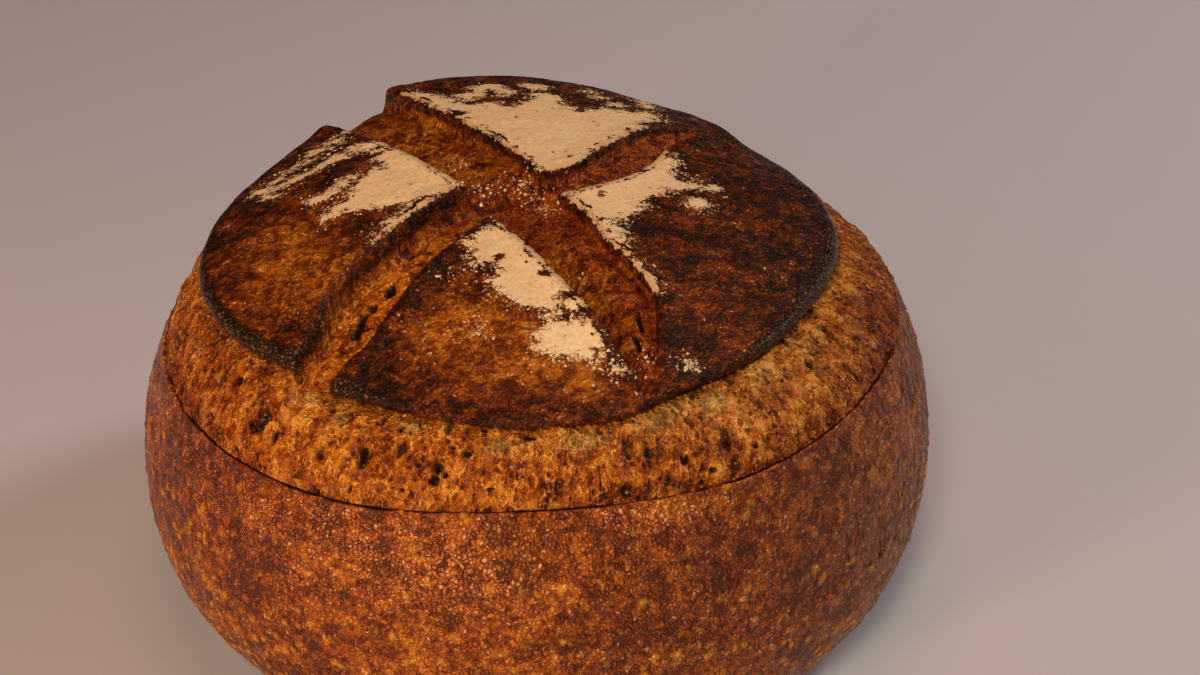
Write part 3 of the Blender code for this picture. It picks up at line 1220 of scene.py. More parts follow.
@dataclass(frozen=True)
class CrumbFinish:
    """The crumb of the burst band, with painted glints."""

    gloss: Gloss = Gloss(roughness=(0.25, 0.50), specular=0.22, bump=0.85 * MM)
    # Colour of the painted glints.
    tip: tuple[float, float, float] = (1.000, 0.620, 0.320)

    def material(self, effects: Effects) -> bpy.types.Material:
        """Builds the finish from the shared effects."""
        material, graph = new_material("burst_crumb")
        place = graph.place()
        grain = graph.group(effects.grain, place=place, shine=0.1).outputs
        crumb = graph.group(
            effects.crumb,
            place=place,
            straw=graph.mask("straw"),
            pore=graph.mask("pore"),
            toast=graph.mask("toast"),
            rise=graph.mask("relief"),
        ).outputs
        # Painted glints on some grains of the crumb.
        painted_sparkle = graph.math("MULTIPLY", grain["Glints"], 0.32)
        burnt = graph.group(
            effects.char,
            color=graph.blend(painted_sparkle, crumb["Color"], self.tip),
            char=graph.mask("char"),
            grain=grain["Grain"],
            place=place,
        )
        shader_of(graph, self.gloss, burnt.outputs["Color"], crumb["Height"], grain["Mottle"])
        return material


@dataclass(frozen=True)
class FlourFinish:
    """Loose grains of toasted flour."""

    gloss: Gloss = Gloss(roughness=(0.80, 0.95), specular=0.1, bump=0.08 * MM)

    def material(self, effects: Effects) -> bpy.types.Material:
        """Builds the finish from the shared effects."""
        material, graph = new_material("loose_flour")
        flour = graph.group(
            effects.flour, cover=1.0, toast=0.25, grain=0.6, place=graph.place()
        ).outputs
        shader_of(graph, self.gloss, flour["Color"], flour["Height"], flour["Mask"])
        return material


# ---------------------------------------------------------------- sub-assemblies


@dataclass
class SideCrust:
    """The side of the loaf from its lip down to its foot, in four quarters."""

    form: LoafForm
    columns: int = 1440
    rows: int = 170
    swell: float = 1.1 * MM
    blister_size: float = 2.7 * MM
    blister_rise: float = 0.50 * MM
    length: float = 0.117
    bumps: tuple[Patch, ...] = (
        Patch(253.3, 0.127, 2.4, 2.4, 0.35),
        Patch(264.8, 0.134, 2.2, 2.0, 0.75),
        Patch(284.0, 0.030, 4.0, 0.8, 0.45, 8.0),
        Patch(290.2, 0.020, 3.0, 0.8, 0.40, 8.0),
    )
    pits: tuple[Patch, ...] = (
        Patch(253.9, 0.132, 0.6, 0.5, 0.6),
        Patch(292.4, 0.014, 0.9, 0.7, 0.8),
        Patch(298.0, 0.014, 4.5, 0.6, 0.5, 4.0),
        Patch(350.8, 0.679, 1.2, 1.4, 0.9),
        Patch(324.5, 0.441, 0.8, 0.9, 0.8),
        Patch(321.8, 0.441, 0.8, 1.0, 0.8),
        Patch(333.0, 0.560, 0.7, 0.9, 0.6),
        Patch(343.0, 0.380, 0.6, 0.9, 0.6),
        Patch(337.0, 0.250, 0.5, 0.8, 0.5),
    )
    darks: tuple[Patch, ...] = (
        Patch(243.8, 0.264, 4.0, 3.0, 0.55),
        Patch(210.8, 0.224, 5.0, 4.0, 0.60),
        Patch(266.5, 0.157, 2.0, 2.0, 0.55),
        Patch(295.2, 0.268, 3.0, 2.5, 0.50),
        Patch(226.0, 0.420, 9.0, 5.0, 0.35),
        Patch(283.0, 0.330, 8.0, 4.0, 0.30),
        Patch(305.0, 0.300, 7.0, 6.0, 0.35),
    )
    ambers: tuple[Patch, ...] = (
        Patch(253.3, 0.127, 4.0, 3.2, 0.9),
        Patch(264.0, 0.128, 3.0, 2.4, 1.0),
        Patch(296.2, 0.124, 2.4, 2.0, 0.9),
        Patch(228.0, 0.150, 5.0, 4.0, 0.6),
        Patch(238.0, 0.180, 3.0, 2.5, 0.5),
        Patch(232.0, 0.480, 6.0, 5.0, 0.5),
        Patch(276.0, 0.380, 9.0, 7.0, 0.4),
    )
    # Where a sheen is painted on the side crust: painted highlights and more painted glints.
    painted_sheens: tuple[Patch, ...] = (
        Patch(245.0, 0.110, 24.0, 9.0, 1.0, 6.0),
        Patch(260.0, 0.160, 20.0, 10.0, 0.9, -8.0),
        Patch(233.0, 0.200, 14.0, 13.0, 0.7),
        Patch(281.0, 0.070, 18.0, 6.0, 0.7),
        Patch(296.0, 0.250, 14.0, 10.0, 0.45),
        Patch(318.0, 0.330, 16.0, 16.0, 0.35),
    )

    def spread(self, patches: tuple[Patch, ...], theta: np.ndarray, down: np.ndarray):
        """How strongly soft patches cover each point."""
        total = np.zeros(down.shape)
        for patch in patches:
            reach = patch.reach(theta, down, self.form.radius, self.length)
            total = np.maximum(total, patch.amount * np.exp(-(reach**2)))
        return total

    def build(self, maker: PieceMaker, material: bpy.types.Material) -> None:
        """Makes the four quarters."""
        theta, down = np.meshgrid(
            np.arange(self.columns) / self.columns * TAU, np.linspace(0.0, 1.0, self.rows)
        )
        skin = Skin(self.form.side_section(theta, down))
        self.roughen(skin, theta, down)
        face_theta = theta[:-1] + math.pi / self.columns
        names = {"front": 1.5, "right": 0.0, "back": 0.5, "left": 1.0}
        for name, turn in names.items():
            chosen = np.abs(angle_gap(face_theta, turn * math.pi)) < math.pi / 4.0
            maker.from_skin(f"side_crust_{name}", skin, chosen, material)

    def roughen(self, skin: Skin, theta: np.ndarray, down: np.ndarray) -> None:
        """Adds the crust's unevenness and blisters, and the masks that go with them."""
        points = skin.points.reshape(-1, 3)
        shape = down.shape
        inside = smooth_share(down, 0.0, 0.04) * smooth_share(1.0 - down, 0.0, 0.15)
        wide = NOISE.layers(points, 42.0 * MM, 11, 3).reshape(shape)
        middle = NOISE.layers(points, 9.0 * MM, 21, 3).reshape(shape)
        shaken = points + 1.2 * MM * NOISE.waves(points, 3.0 * MM, 35)[:, None]
        nearest, _, own = NOISE.cells(shaken, self.blister_size, 31)
        dome = np.clip(1.0 - (nearest / 0.55) ** 2, 0.0, 1.0).reshape(shape)
        share = mix(0.20, 0.62, smooth_share(down, 0.15, 0.8)) + 0.25 * middle
        raised = dome * smooth_share(share - own.reshape(shape), 0.0, 0.12)
        fine = NOISE.layers(points, 1.6 * MM, 41, 2).reshape(shape)
        right = bell(angle_gap(theta, math.radians(348.0)), 0.0, 0.55)
        upright = points * np.array([1.0, 1.0, 0.22])
        wrinkles = right * NOISE.ridges(upright, 2.0 * MM, 45, 0.35).reshape(shape)
        height = self.swell * wide + 0.42 * MM * middle + 0.11 * MM * fine + 0.22 * MM * wrinkles
        holes = self.spread(self.pits, theta, down)
        placed = MM * (self.spread(self.bumps, theta, down) - 1.2 * holes)
        skin.push(inside * (height + self.blister_rise * raised) + placed)
        glow = self.spread(self.ambers, theta, down) - self.spread(self.darks, theta, down)
        skin.masks = {
            "relief": 0.5 + 0.5 * middle + 0.35 * fine + 0.9 * (wrinkles - 0.3 * right),
            "blister": raised * smooth_share(own.reshape(shape), 0.0, 0.20) * 0.9,
            "amber": smooth_share(wide, -0.5, 0.7) + 1.1 * glow,
            # Painted sheen: where highlights are painted on the grains.
            "sheen": self.spread(self.painted_sheens, theta, down) * smooth_share(middle + wide, -0.5, 0.5),
            "char": 0.9 * smooth_share(holes, 0.2, 0.5),
        }


@dataclass
class FootCrust:
    """The flat base that the loaf stands on."""

    form: LoafForm
    cells: int = 150

    def build(self, maker: PieceMaker, material: bpy.types.Material) -> None:
        """Makes the base, a little hollow in its middle."""
        rho, theta = square_disc(self.cells, flip=True)
        radius = self.form.radius * self.form.foot * rho
        hollow = 0.8 * MM * (1.0 - rho**2)
        points = np.stack([radius * np.cos(theta), radius * np.sin(theta), hollow], axis=-1)
        skin = Skin(points, wraps=False)
        flat = points.reshape(-1, 3)
        relief = NOISE.layers(flat, 7.0 * MM, 51, 3).reshape(rho.shape)
        skin.points[..., 2] += 0.35 * MM * (1.0 + relief) * smooth_share(1.0 - rho, 0.0, 0.06)
        skin.masks = {
            "relief": 0.5 + 0.5 * relief,
            "blister": np.zeros(rho.shape),
            "amber": np.zeros(rho.shape),
            "sheen": np.zeros(rho.shape),
            "char": 0.35 * np.ones(rho.shape),
        }
        chosen = np.ones((self.cells - 1, self.cells - 1), bool)
        maker.from_skin("foot_crust", skin, chosen, material)


def square_disc(cells: int, flip: bool = False) -> tuple[np.ndarray, np.ndarray]:
    """A square grid bent into a disc without a pinched middle.

    Args:
        cells: points along one side of the grid.
        flip: whether the front of the disc faces down.

    Returns:
        Distance from the middle, from 0 to 1, and angle of each point.
    """
    steps = np.linspace(-1.0, 1.0, cells)
    across, along = np.meshgrid(steps, steps if flip else steps[::-1])
    x = across * np.sqrt(1.0 - along**2 / 2.0)
    y = along * np.sqrt(1.0 - across**2 / 2.0)
    return np.hypot(x, y), np.arctan2(y, x)


@dataclass
class BurstBand:
    """The crumb that swelled out between the lip and the cap, in a front and a back half."""

    form: LoafForm
    columns: int = 1800
    rows: int = 90
    length: float = 29.0 * MM
    pores: tuple[Patch, ...] = (
        Patch(224.8, 0.572, 2.7, 3.2, 3.2, 20.0),
        Patch(228.8, 0.615, 0.8, 2.2, 1.6),
        Patch(222.5, 0.873, 1.2, 1.0, 1.6),
        Patch(237.2, 0.625, 0.9, 1.0, 1.3),
        Patch(234.2, 0.843, 0.6, 0.6, 1.2),
        Patch(243.5, 0.538, 1.2, 3.0, 1.8, -12.0),
        Patch(234.8, 0.258, 1.0, 0.8, 0.9),
        Patch(238.0, 0.231, 0.6, 0.6, 0.9),
        Patch(247.8, 0.271, 1.3, 1.1, 1.0),
        Patch(255.3, 0.560, 1.5, 1.7, 2.4),
        Patch(255.0, 0.670, 1.3, 1.5, 2.2),
        Patch(256.6, 0.620, 0.7, 0.9, 1.6),
        Patch(259.2, 0.431, 1.3, 1.1, 1.6),
        Patch(257.0, 0.375, 0.7, 0.6, 1.2),
        Patch(269.0, 0.264, 1.5, 0.8, 1.6),
        Patch(263.2, 0.736, 1.1, 0.7, 1.3),
        Patch(252.2, 0.552, 0.6, 0.6, 1.1),
        Patch(248.8, 0.686, 0.5, 0.5, 1.1),
        Patch(250.7, 0.766, 0.7, 0.5, 1.1),
        Patch(286.2, 0.532, 1.6, 1.6, 0.9),
        Patch(291.2, 0.649, 1.3, 1.6, 0.9),
        Patch(293.0, 0.896, 1.0, 0.8, 1.4),
        Patch(294.8, 0.789, 0.8, 0.8, 1.2),
        Patch(302.2, 0.716, 0.7, 0.7, 1.2),
        Patch(206.8, 0.639, 0.8, 2.5, 1.8, 10.0),
        Patch(213.2, 0.425, 0.8, 2.2, 1.8, -10.0),
        Patch(216.7, 0.405, 1.6, 1.4, 2.2),
        Patch(278.8, 0.686, 0.3, 3.6, 1.2),
        Patch(329.5, 0.395, 0.9, 3.4, 2.6, 8.0),
        Patch(325.4, 0.700, 0.8, 3.6, 2.4, -10.0),
        Patch(320.0, 0.408, 1.6, 1.4, 1.4),
        Patch(346.0, 0.535, 1.0, 1.5, 1.4),
        Patch(341.5, 0.589, 1.0, 1.0, 1.4),
    )
    straws: tuple[Patch, ...] = (
        Patch(229.7, 0.251, 3.4, 2.4, 0.7),
        Patch(237.0, 0.300, 2.4, 2.2, 0.8),
        Patch(249.3, 0.251, 4.2, 1.8),
        Patch(264.5, 0.361, 5.0, 2.2),
        Patch(276.5, 0.340, 6.4, 2.6),
        Patch(290.5, 0.290, 8.5, 3.0),
        Patch(299.0, 0.288, 5.0, 2.6),
        Patch(310.0, 0.260, 6.0, 2.6, 0.7),
        Patch(322.0, 0.300, 6.0, 3.0, 0.5),
    )

    def build(self, maker: PieceMaker, material: bpy.types.Material) -> None:
        """Makes the two halves."""
        theta, out = np.meshgrid(
            np.arange(self.columns) / self.columns * TAU, np.linspace(0.0, 1.0, self.rows)
        )
        skin = Skin(self.form.band_section(theta, out))
        self.roughen(skin, theta, out)
        front = np.sin(theta[:-1] + math.pi / self.columns) < 0.0
        maker.from_skin("burst_band_front", skin, front, material)
        maker.from_skin("burst_band_back", skin, ~front, material)

    def pressed(self, theta: np.ndarray, out: np.ndarray) -> tuple[np.ndarray, np.ndarray]:
        """The large pores: their depth in millimetres, and how far inside one each point is."""
        radius = self.form.radius * 0.86
        wobble = NOISE.waves(self.drum(theta, out), 1.6 * MM, 55).reshape(out.shape)
        depth, inside = np.zeros(out.shape), np.zeros(out.shape)
        for pore in self.pores:
            reach = pore.reach(theta, out, radius, self.length) + 0.30 * wobble
            depth = np.maximum(depth, pore.amount * smooth_share(1.15 - reach, 0.0, 0.55))
            inside = np.maximum(inside, smooth_share(1.0 - reach, 0.0, 0.35))
        return depth, inside

    def pale(self, theta: np.ndarray, out: np.ndarray) -> np.ndarray:
        """How straw-like the crumb is, from 0 to 1."""
        pale = np.zeros(out.shape)
        for straw in self.straws:
            reach = straw.reach(theta, out, self.form.radius * 0.86, self.length)
            pale = np.maximum(pale, straw.amount * np.exp(-(reach**2)))
        return pale

    def drum(self, theta: np.ndarray, out: np.ndarray) -> np.ndarray:
        """The band's points rolled out on a drum, so that what is read there isn't skewed."""
        radius = self.form.radius * 0.86
        drum = [radius * np.cos(theta), radius * np.sin(theta), -out * self.length]
        return np.stack(drum, axis=-1).reshape(-1, 3)

    def roughen(self, skin: Skin, theta: np.ndarray, out: np.ndarray) -> None:
        """Adds lumps, pores and strands, and the masks that go with them."""
        shape = out.shape
        drum = self.drum(theta, out)
        inside = smooth_share(out, 0.0, 0.06) * smooth_share(1.0 - out, 0.0, 0.05)
        lumps = NOISE.layers(drum, 9.0 * MM, 61, 4).reshape(shape)
        pull = drum * np.array([1.0, 1.0, 0.45])
        shaken = pull + 0.9 * MM * NOISE.waves(drum, 2.6 * MM, 66)[:, None]
        strands = NOISE.ridges(shaken, 2.8 * MM, 71, 0.30).reshape(shape)
        threads = NOISE.ridges(shaken, 1.5 * MM, 72, 0.30).reshape(shape)
        nearest, _, own = NOISE.cells(shaken, 2.6 * MM, 75)
        wide = 0.20 + 0.35 * smooth_share(own, 0.80, 1.0)
        tiny = (smooth_share(wide - nearest, 0.0, 0.12) * (own > 0.85)).reshape(shape)
        depth, pore = self.pressed(theta, out)
        height = 1.45 * lumps + 0.26 * strands + 0.16 * threads - 0.8 * tiny - depth
        creased = smooth_share(NOISE.waves(drum, 16.0 * MM, 95).reshape(shape), -0.6, 0.3)
        rolled = -mix(0.04, 0.22, creased) * smooth_share(out, 0.965, 1.0)
        skin.push(MM * (inside * height + rolled))
        clouds = NOISE.layers(drum, 14.0 * MM, 91, 3).reshape(shape)
        straw = self.pale(theta, out) * smooth_share(clouds, -0.9, 0.1)
        back = smooth_share(np.sin(theta), -0.2, 0.3) * bell(out, 0.25, 0.16)
        straw = np.maximum(straw, 0.8 * back * smooth_share(clouds, -0.1, 0.5))
        # Browner over the outer third towards the lip; right at the lip this is painted shade of the crease.
        toast = 0.55 * smooth_share(out + 0.25 * clouds, 0.66, 1.0)
        # Painted shade: darker along the inner edge, under the cap's rolled edge.
        toast = toast + 0.7 * (1.0 - smooth_share(out, 0.03, 0.14))
        right = bell(angle_gap(theta, math.radians(350.0)), 0.0, 0.65) * smooth_share(out, 0.1, 0.6)
        left = 0.55 * bell(angle_gap(theta, math.radians(205.0)), 0.0, 0.35)
        skin.masks = {
            "relief": 0.5 + 0.55 * lumps + 0.22 * strands + 0.14 * threads,
            "straw": np.clip(straw, 0.0, 1.0),
            "pore": np.clip(pore + 0.75 * tiny, 0.0, 1.0),
            "toast": np.clip(toast + 0.7 * right + left, 0.0, 1.0),
            # Painted shade: the crumb right under the cap's edge is painted dark.
            "char": 0.60 * (1.0 - smooth_share(out, 0.0, 0.05)),
        }


class Petal(enum.Enum):
    """The four petals, each with the side of the long and of the short cut that it lies on."""

    BACK = (1, 1)
    LEFT = (-1, 1)
    RIGHT = (1, -1)
    FRONT = (-1, -1)


@dataclass
class ScoredCap:
    """The cap: four petals of top crust, and the crumb of the cross between them."""

    form: LoafForm
    cells: int = 460
    dome_share: float = 0.87  # share of the grid's half width that the dome takes
    tuck: float = 4.0 * MM
    curl: float = 0.7 * MM
    flour_rise: float = 0.12 * MM
    flour_border: float = 4.6 * MM
    flour_bodies: tuple[Outline, ...] = (
        Outline(
            (
                (-0.18, -0.03), (-0.26, 0.09), (-0.32, 0.19), (-0.37, 0.24), (-0.40, 0.23),
                (-0.39, 0.14), (-0.44, 0.02), (-0.50, -0.10), (-0.45, -0.08), (-0.35, -0.10),
                (-0.27, -0.09), (-0.21, -0.07),
            )
        ),
        Outline(
            (
                (-0.35, 0.54), (-0.28, 0.45), (-0.18, 0.30), (-0.11, 0.21), (-0.06, 0.14),
                (-0.01, 0.05), (0.04, 0.00), (0.10, 0.02), (0.13, 0.06), (0.15, 0.12),
                (0.21, 0.19), (0.27, 0.28), (0.33, 0.40), (0.30, 0.45), (0.25, 0.42),
                (0.19, 0.42), (0.15, 0.39), (0.11, 0.38), (0.08, 0.42), (0.06, 0.49),
                (0.02, 0.50), (0.00, 0.44), (-0.06, 0.39), (-0.12, 0.41), (-0.16, 0.42),
                (-0.27, 0.51),
            )
        ),
        Outline(
            (
                (0.07, -0.06), (0.15, -0.02), (0.20, 0.02), (0.24, 0.04), (0.28, 0.09),
                (0.31, 0.18), (0.33, 0.23), (0.37, 0.16), (0.34, 0.11), (0.36, 0.06),
                (0.41, 0.05), (0.41, 0.02), (0.36, 0.00), (0.30, -0.03), (0.27, -0.09),
                (0.23, -0.14), (0.18, -0.17), (0.20, -0.22), (0.21, -0.28), (0.17, -0.24),
                (0.14, -0.20), (0.11, -0.13),
            )
        ),
        Outline(
            (
                (-0.08, -0.14), (-0.17, -0.24), (-0.14, -0.27), (-0.15, -0.32), (-0.10, -0.33),
                (-0.08, -0.34), (-0.11, -0.40), (-0.08, -0.42), (-0.04, -0.46), (-0.01, -0.47),
                (0.05, -0.49), (0.05, -0.44), (0.08, -0.39), (0.03, -0.34), (-0.01, -0.27),
                (-0.04, -0.22),
            )
        ),
        Outline(
            (
                (0.03, -0.51), (0.08, -0.52), (0.12, -0.54), (0.15, -0.60), (0.12, -0.64),
                (0.07, -0.64), (0.01, -0.62), (0.00, -0.58),
            )
        ),
    )
    flour_streaks: tuple[Streak, ...] = (
        Streak(((-0.21, -0.07), (-0.28, -0.13), (-0.33, -0.18), (-0.38, -0.22)), 0.012),
        Streak(((-0.45, 0.08), (-0.53, 0.01)), 0.014),
        Streak(((-0.37, 0.24), (-0.45, 0.26), (-0.51, 0.21), (-0.58, 0.17), (-0.65, 0.12)), 0.014),
        Streak(((-0.48, 0.36), (-0.54, 0.32), (-0.61, 0.24), (-0.68, 0.16)), 0.010),
        Streak(((-0.16, 0.49), (-0.11, 0.56), (-0.06, 0.50)), 0.022),
        Streak(((0.01, 0.57),), 0.024),
        Streak(((0.15, 0.585),), 0.012),
        Streak(((0.18, 0.53),), 0.016),
        Streak(((0.22, 0.49),), 0.016),
        Streak(((0.29, 0.56), (0.31, 0.52)), 0.012),
        Streak(((0.18, -0.26), (0.22, -0.32), (0.25, -0.38), (0.27, -0.43)), 0.002),
        Streak(((0.40, -0.07),), 0.022),
        Streak(((0.44, 0.03),), 0.014),
        Streak(((-0.13, -0.54),), 0.010),
        Streak(((0.34, -0.65),), 0.004),
        Streak(((0.18, -0.67),), 0.006),
        Streak(((0.09, -0.47),), 0.012),
        Streak(((0.03, -0.09), (0.04, -0.16)), 0.012),
    )

    flour_holes: tuple[Spot, ...] = (
        Spot(0.079, 0.119, 0.016),
        Spot(0.088, 0.075, 0.014),
        Spot(0.050, 0.110, 0.010),
        Spot(0.030, 0.300, 0.022, 0.6),
        Spot(-0.170, 0.350, 0.030, 0.6),
        Spot(-0.050, 0.230, 0.012, 0.8),
        Spot(0.150, 0.300, 0.016, 0.7),
        Spot(-0.080, -0.290, 0.020),
        Spot(0.020, -0.370, 0.018, 0.8),
        Spot(-0.010, -0.250, 0.010, 0.8),
        Spot(0.165, -0.070, 0.018, 0.8),
        Spot(-0.360, 0.100, 0.020, 0.5),
    )
    thick_flour: Spot = Spot(0.08, -0.58, 0.11)
    pores: tuple[Streak, ...] = (
        Streak(((-0.338, -0.322), (-0.338, -0.350)), 0.012),
        Streak(((-0.373, -0.376), (-0.376, -0.400)), 0.007),
        Streak(((-0.398, -0.405), (-0.414, -0.466)), 0.012),
        Streak(((-0.388, -0.452),), 0.008),
        Streak(((-0.282, -0.250),), 0.008),
        Streak(((-0.252, -0.210),), 0.009),
        Streak(((-0.121, -0.098),), 0.016),
        Streak(((0.232, -0.500), (0.240, -0.545)), 0.005),
        Streak(((0.222, -0.560), (0.230, -0.600)), 0.005),
    )
    char_widths: UnevenRing = UnevenRing(
        (8.5, 7.0, 4.0, 2.2, 2.0, 2.4, 2.6, 3.6, 2.2, 0.3, 0.8, 5.5)
    )
    char_spots: tuple[Spot, ...] = (
        Spot(-0.400, -0.600, 0.070, 0.5),
        Spot(-0.300, -0.620, 0.070, 0.3),
        Spot(-0.230, -0.330, 0.060, 0.7),
        Spot(-0.290, -0.430, 0.050, 0.6),
        Spot(-0.540, -0.480, 0.060, 0.5),
        Spot(-0.570, -0.420, 0.060, 0.3),
        Spot(0.340, 0.020, 0.060, 0.5),
    )
    glows: tuple[Spot, ...] = (
        Spot(-0.55, -0.25, 0.16, 0.9),
        Spot(-0.52, -0.40, 0.12, 0.7),
        Spot(-0.60, -0.10, 0.14, 0.6),
        Spot(-0.22, -0.50, 0.11, 0.7),
        Spot(-0.05, -0.60, 0.14, 1.0),
        Spot(0.10, -0.68, 0.10, 0.7),
        Spot(-0.15, -0.58, 0.12, 0.6),
        Spot(0.42, -0.45, 0.10, 0.4),
        Spot(0.40, -0.18, 0.12, 0.25),
    )
    crumb_glows: tuple[Spot, ...] = (
        Spot(-0.37, -0.37, 0.100, 1.1),
        Spot(-0.43, -0.50, 0.095, 1.3),
        Spot(-0.30, -0.27, 0.085, 0.9),
        Spot(-0.21, -0.17, 0.060, 0.5),
        Spot(0.02, -0.26, 0.060, 0.7),
        Spot(0.10, -0.40, 0.060, 0.8),
        Spot(0.17, -0.54, 0.050, 0.6),
        Spot(-0.30, 0.32, 0.180, 0.7),
        Spot(-0.16, 0.12, 0.100, 0.4),
    )

    def build(self, maker: PieceMaker, material: bpy.types.Material) -> None:
        """Makes the petals and the cross of crumb."""
        rho, theta = square_disc(self.cells)
        self.lay_out(rho, theta)
        self.roughen()
        inside = self.opened[:-1, :-1] > 0.5
        maker.from_skin("cross_crumb", self.skin, inside, material)
        long_side = np.sign(self.long_places.side.reshape(rho.shape)[:-1, :-1])
        short_side = np.sign(self.short_places.side.reshape(rho.shape)[:-1, :-1])
        for petal in Petal:
            chosen = (long_side == petal.value[0]) & (short_side == petal.value[1]) & ~inside
            maker.from_skin(f"petal_{petal.name.lower()}", self.skin, chosen, material)

    def lay_out(self, rho: np.ndarray, theta: np.ndarray) -> None:
        """Works out the cap's smooth form: dome, rolled edge and score cuts."""
        form = self.form
        cap_radius, _ = form.cap(theta)
        rim_opened = form.cut_surface(cap_radius * np.cos(theta), cap_radius * np.sin(theta))[1]
        half = form.cap_edges.at(theta) * MM / 2.0 * (1.0 - 0.9 * rim_opened)
        end = (cap_radius - half) / cap_radius
        fall = (form.dome(end - 0.01, theta) - form.dome(end, theta)) / (0.01 * cap_radius)
        start = np.arctan(fall)
        edge_radius = cap_radius - half + half * np.sin(start)
        share = edge_radius / cap_radius * np.minimum(rho / self.dome_share, 1.0)
        radius, height = cap_radius * share, form.dome(share, theta)
        past = np.clip((rho - self.dome_share) / (1.0 - self.dome_share), 0.0, 1.0)
        turn = start + (math.pi - start) * np.minimum(past / 0.68, 1.0)
        centre_radius = edge_radius - half * np.sin(start)
        centre_height = form.dome(edge_radius / cap_radius, theta) - half * np.cos(start)
        tucked = np.clip((past - 0.68) / 0.32, 0.0, 1.0)
        rolled = rho > self.dome_share
        radius = np.where(rolled, centre_radius + half * np.sin(turn) - self.tuck * tucked, radius)
        lowered = centre_height + half * np.cos(turn) - 2.2 * MM * tucked**2
        height = np.where(rolled, lowered, height)
        x, y = radius * np.cos(theta), radius * np.sin(theta)
        flat_x, flat_y = x.ravel() / form.radius, y.ravel() / form.radius
        self.long_places = form.long_cut.places(flat_x, flat_y)
        self.short_places = form.short_cut.places(flat_x, flat_y)
        lift = form.lift_from(self.long_places, self.short_places)
        carved = form.radius * form.carved(self.long_places, self.short_places)
        height = height + (lift - carved).reshape(rho.shape)
        self.opened = form.opened(self.long_places, self.short_places).reshape(rho.shape)
        self.skin = Skin(np.stack([x, y, height], axis=-1), wraps=False)
        self.rho, self.past, self.theta = rho, past, theta
        self.plan = (flat_x, flat_y)

    def roughen(self) -> None:
        """Adds curl, lumps, pores and flour, and the masks that go with them."""
        shape = self.rho.shape
        points = self.skin.points.reshape(-1, 3).copy()
        petal = 1.0 - self.opened
        off_edge = np.minimum(self.long_places.off_edge(), self.short_places.off_edge())
        off_edge = off_edge.reshape(shape) * self.form.radius
        wide = NOISE.layers(points, 26.0 * MM, 101, 3).reshape(shape)
        middle = NOISE.layers(points, 7.0 * MM, 111, 3).reshape(shape)
        fine = NOISE.layers(points, 1.8 * MM, 121, 2).reshape(shape)
        crust = self.curl * bell(off_edge, 2.0 * MM, 3.0 * MM) * (1.0 - self.past)
        crust = crust + 0.8 * MM * wide + 0.24 * MM * middle + 0.11 * MM * fine
        strands = NOISE.ridges(points, 2.2 * MM, 131, 0.30).reshape(shape)
        nearest, _, own = NOISE.cells(points, 2.2 * MM, 135)
        pore = (smooth_share(0.34 - nearest, 0.0, 0.12) * (own > 0.82)).reshape(shape)
        crumb = 0.6 * middle + 0.5 * wide + 0.12 * strands - 0.6 * pore - self.pressed(shape)
        cover = self.flour_cover(points, shape)
        dusted = smooth_share(cover, 0.46, 0.62)
        height = mix(crust, MM * crumb, self.opened)
        self.skin.push(height + self.flour_rise * dusted * (1.0 - self.past))
        self.skin.masks = {
            "relief": 0.5 + 0.5 * middle + 0.3 * fine,
            "amber": self.amber(wide) * petal,
            "crumb": self.opened,
            "straw": np.zeros(shape),
            "pore": np.clip(pore + smooth_share(self.pressed(shape), 0.3, 0.9), 0.0, 1.0)
            * self.opened,
            "toast": self.browned(),
            "char": self.charred(off_edge, petal),
            "flour": cover,
            "flour_toast": self.toasted(off_edge),
            "glaze": self.glazed(petal),
        }

    def pressed(self, shape: tuple[int, ...]) -> np.ndarray:
        """Depth in millimetres of the placed pores in the score cuts."""
        x, y = self.plan
        depth = np.zeros(len(x))
        for pore in self.pores:
            depth = np.maximum(depth, 2.2 * smooth_share(pore.depth_inside(x, y), -0.004, 0.006))
        return depth.reshape(shape)

    def amber(self, wide: np.ndarray) -> np.ndarray:
        """How light and orange the top crust is, from 0 to 1."""
        x, y = self.plan
        glow = sum(spot.at(x, y) for spot in self.glows).reshape(wide.shape)
        return np.clip(glow + 0.35 * wide, 0.0, 1.0)

    def browned(self) -> np.ndarray:
        """How dark and red the crumb of the cuts is, from 0 to 1."""
        x, y = self.plan
        lit = sum(spot.at(x, y) for spot in self.crumb_glows)
        return np.clip(0.95 - lit, 0.0, 1.0).reshape(self.rho.shape)

    def charred(self, off_edge: np.ndarray, petal: np.ndarray) -> np.ndarray:
        """How dark each point is: burnt at the cap's edge and in placed spots, painted shade along the cuts' edges.
        """
        form, shape = self.form, self.rho.shape
        cap_radius = form.cap(self.theta)[0]
        x, y = self.plan
        from_edge = cap_radius - np.hypot(x, y).reshape(shape) * form.radius
        width = self.char_widths.at(self.theta) * MM
        edge = 0.85 * (1.0 - smooth_share(from_edge, 0.20 * width, 1.4 * width))
        edge = edge * np.clip(width / (2.6 * MM), 0.15, 1.0)
        rolled = smooth_share(self.past, 0.0, 0.25) * np.clip(width / (6.0 * MM), 0.0, 1.0)
        front = smooth_share(-np.sin(self.theta - 0.5), 0.2, 0.7)
        edge = np.maximum(edge, rolled) * (1.0 - 0.9 * front * smooth_share(self.past, 0.26, 0.46))
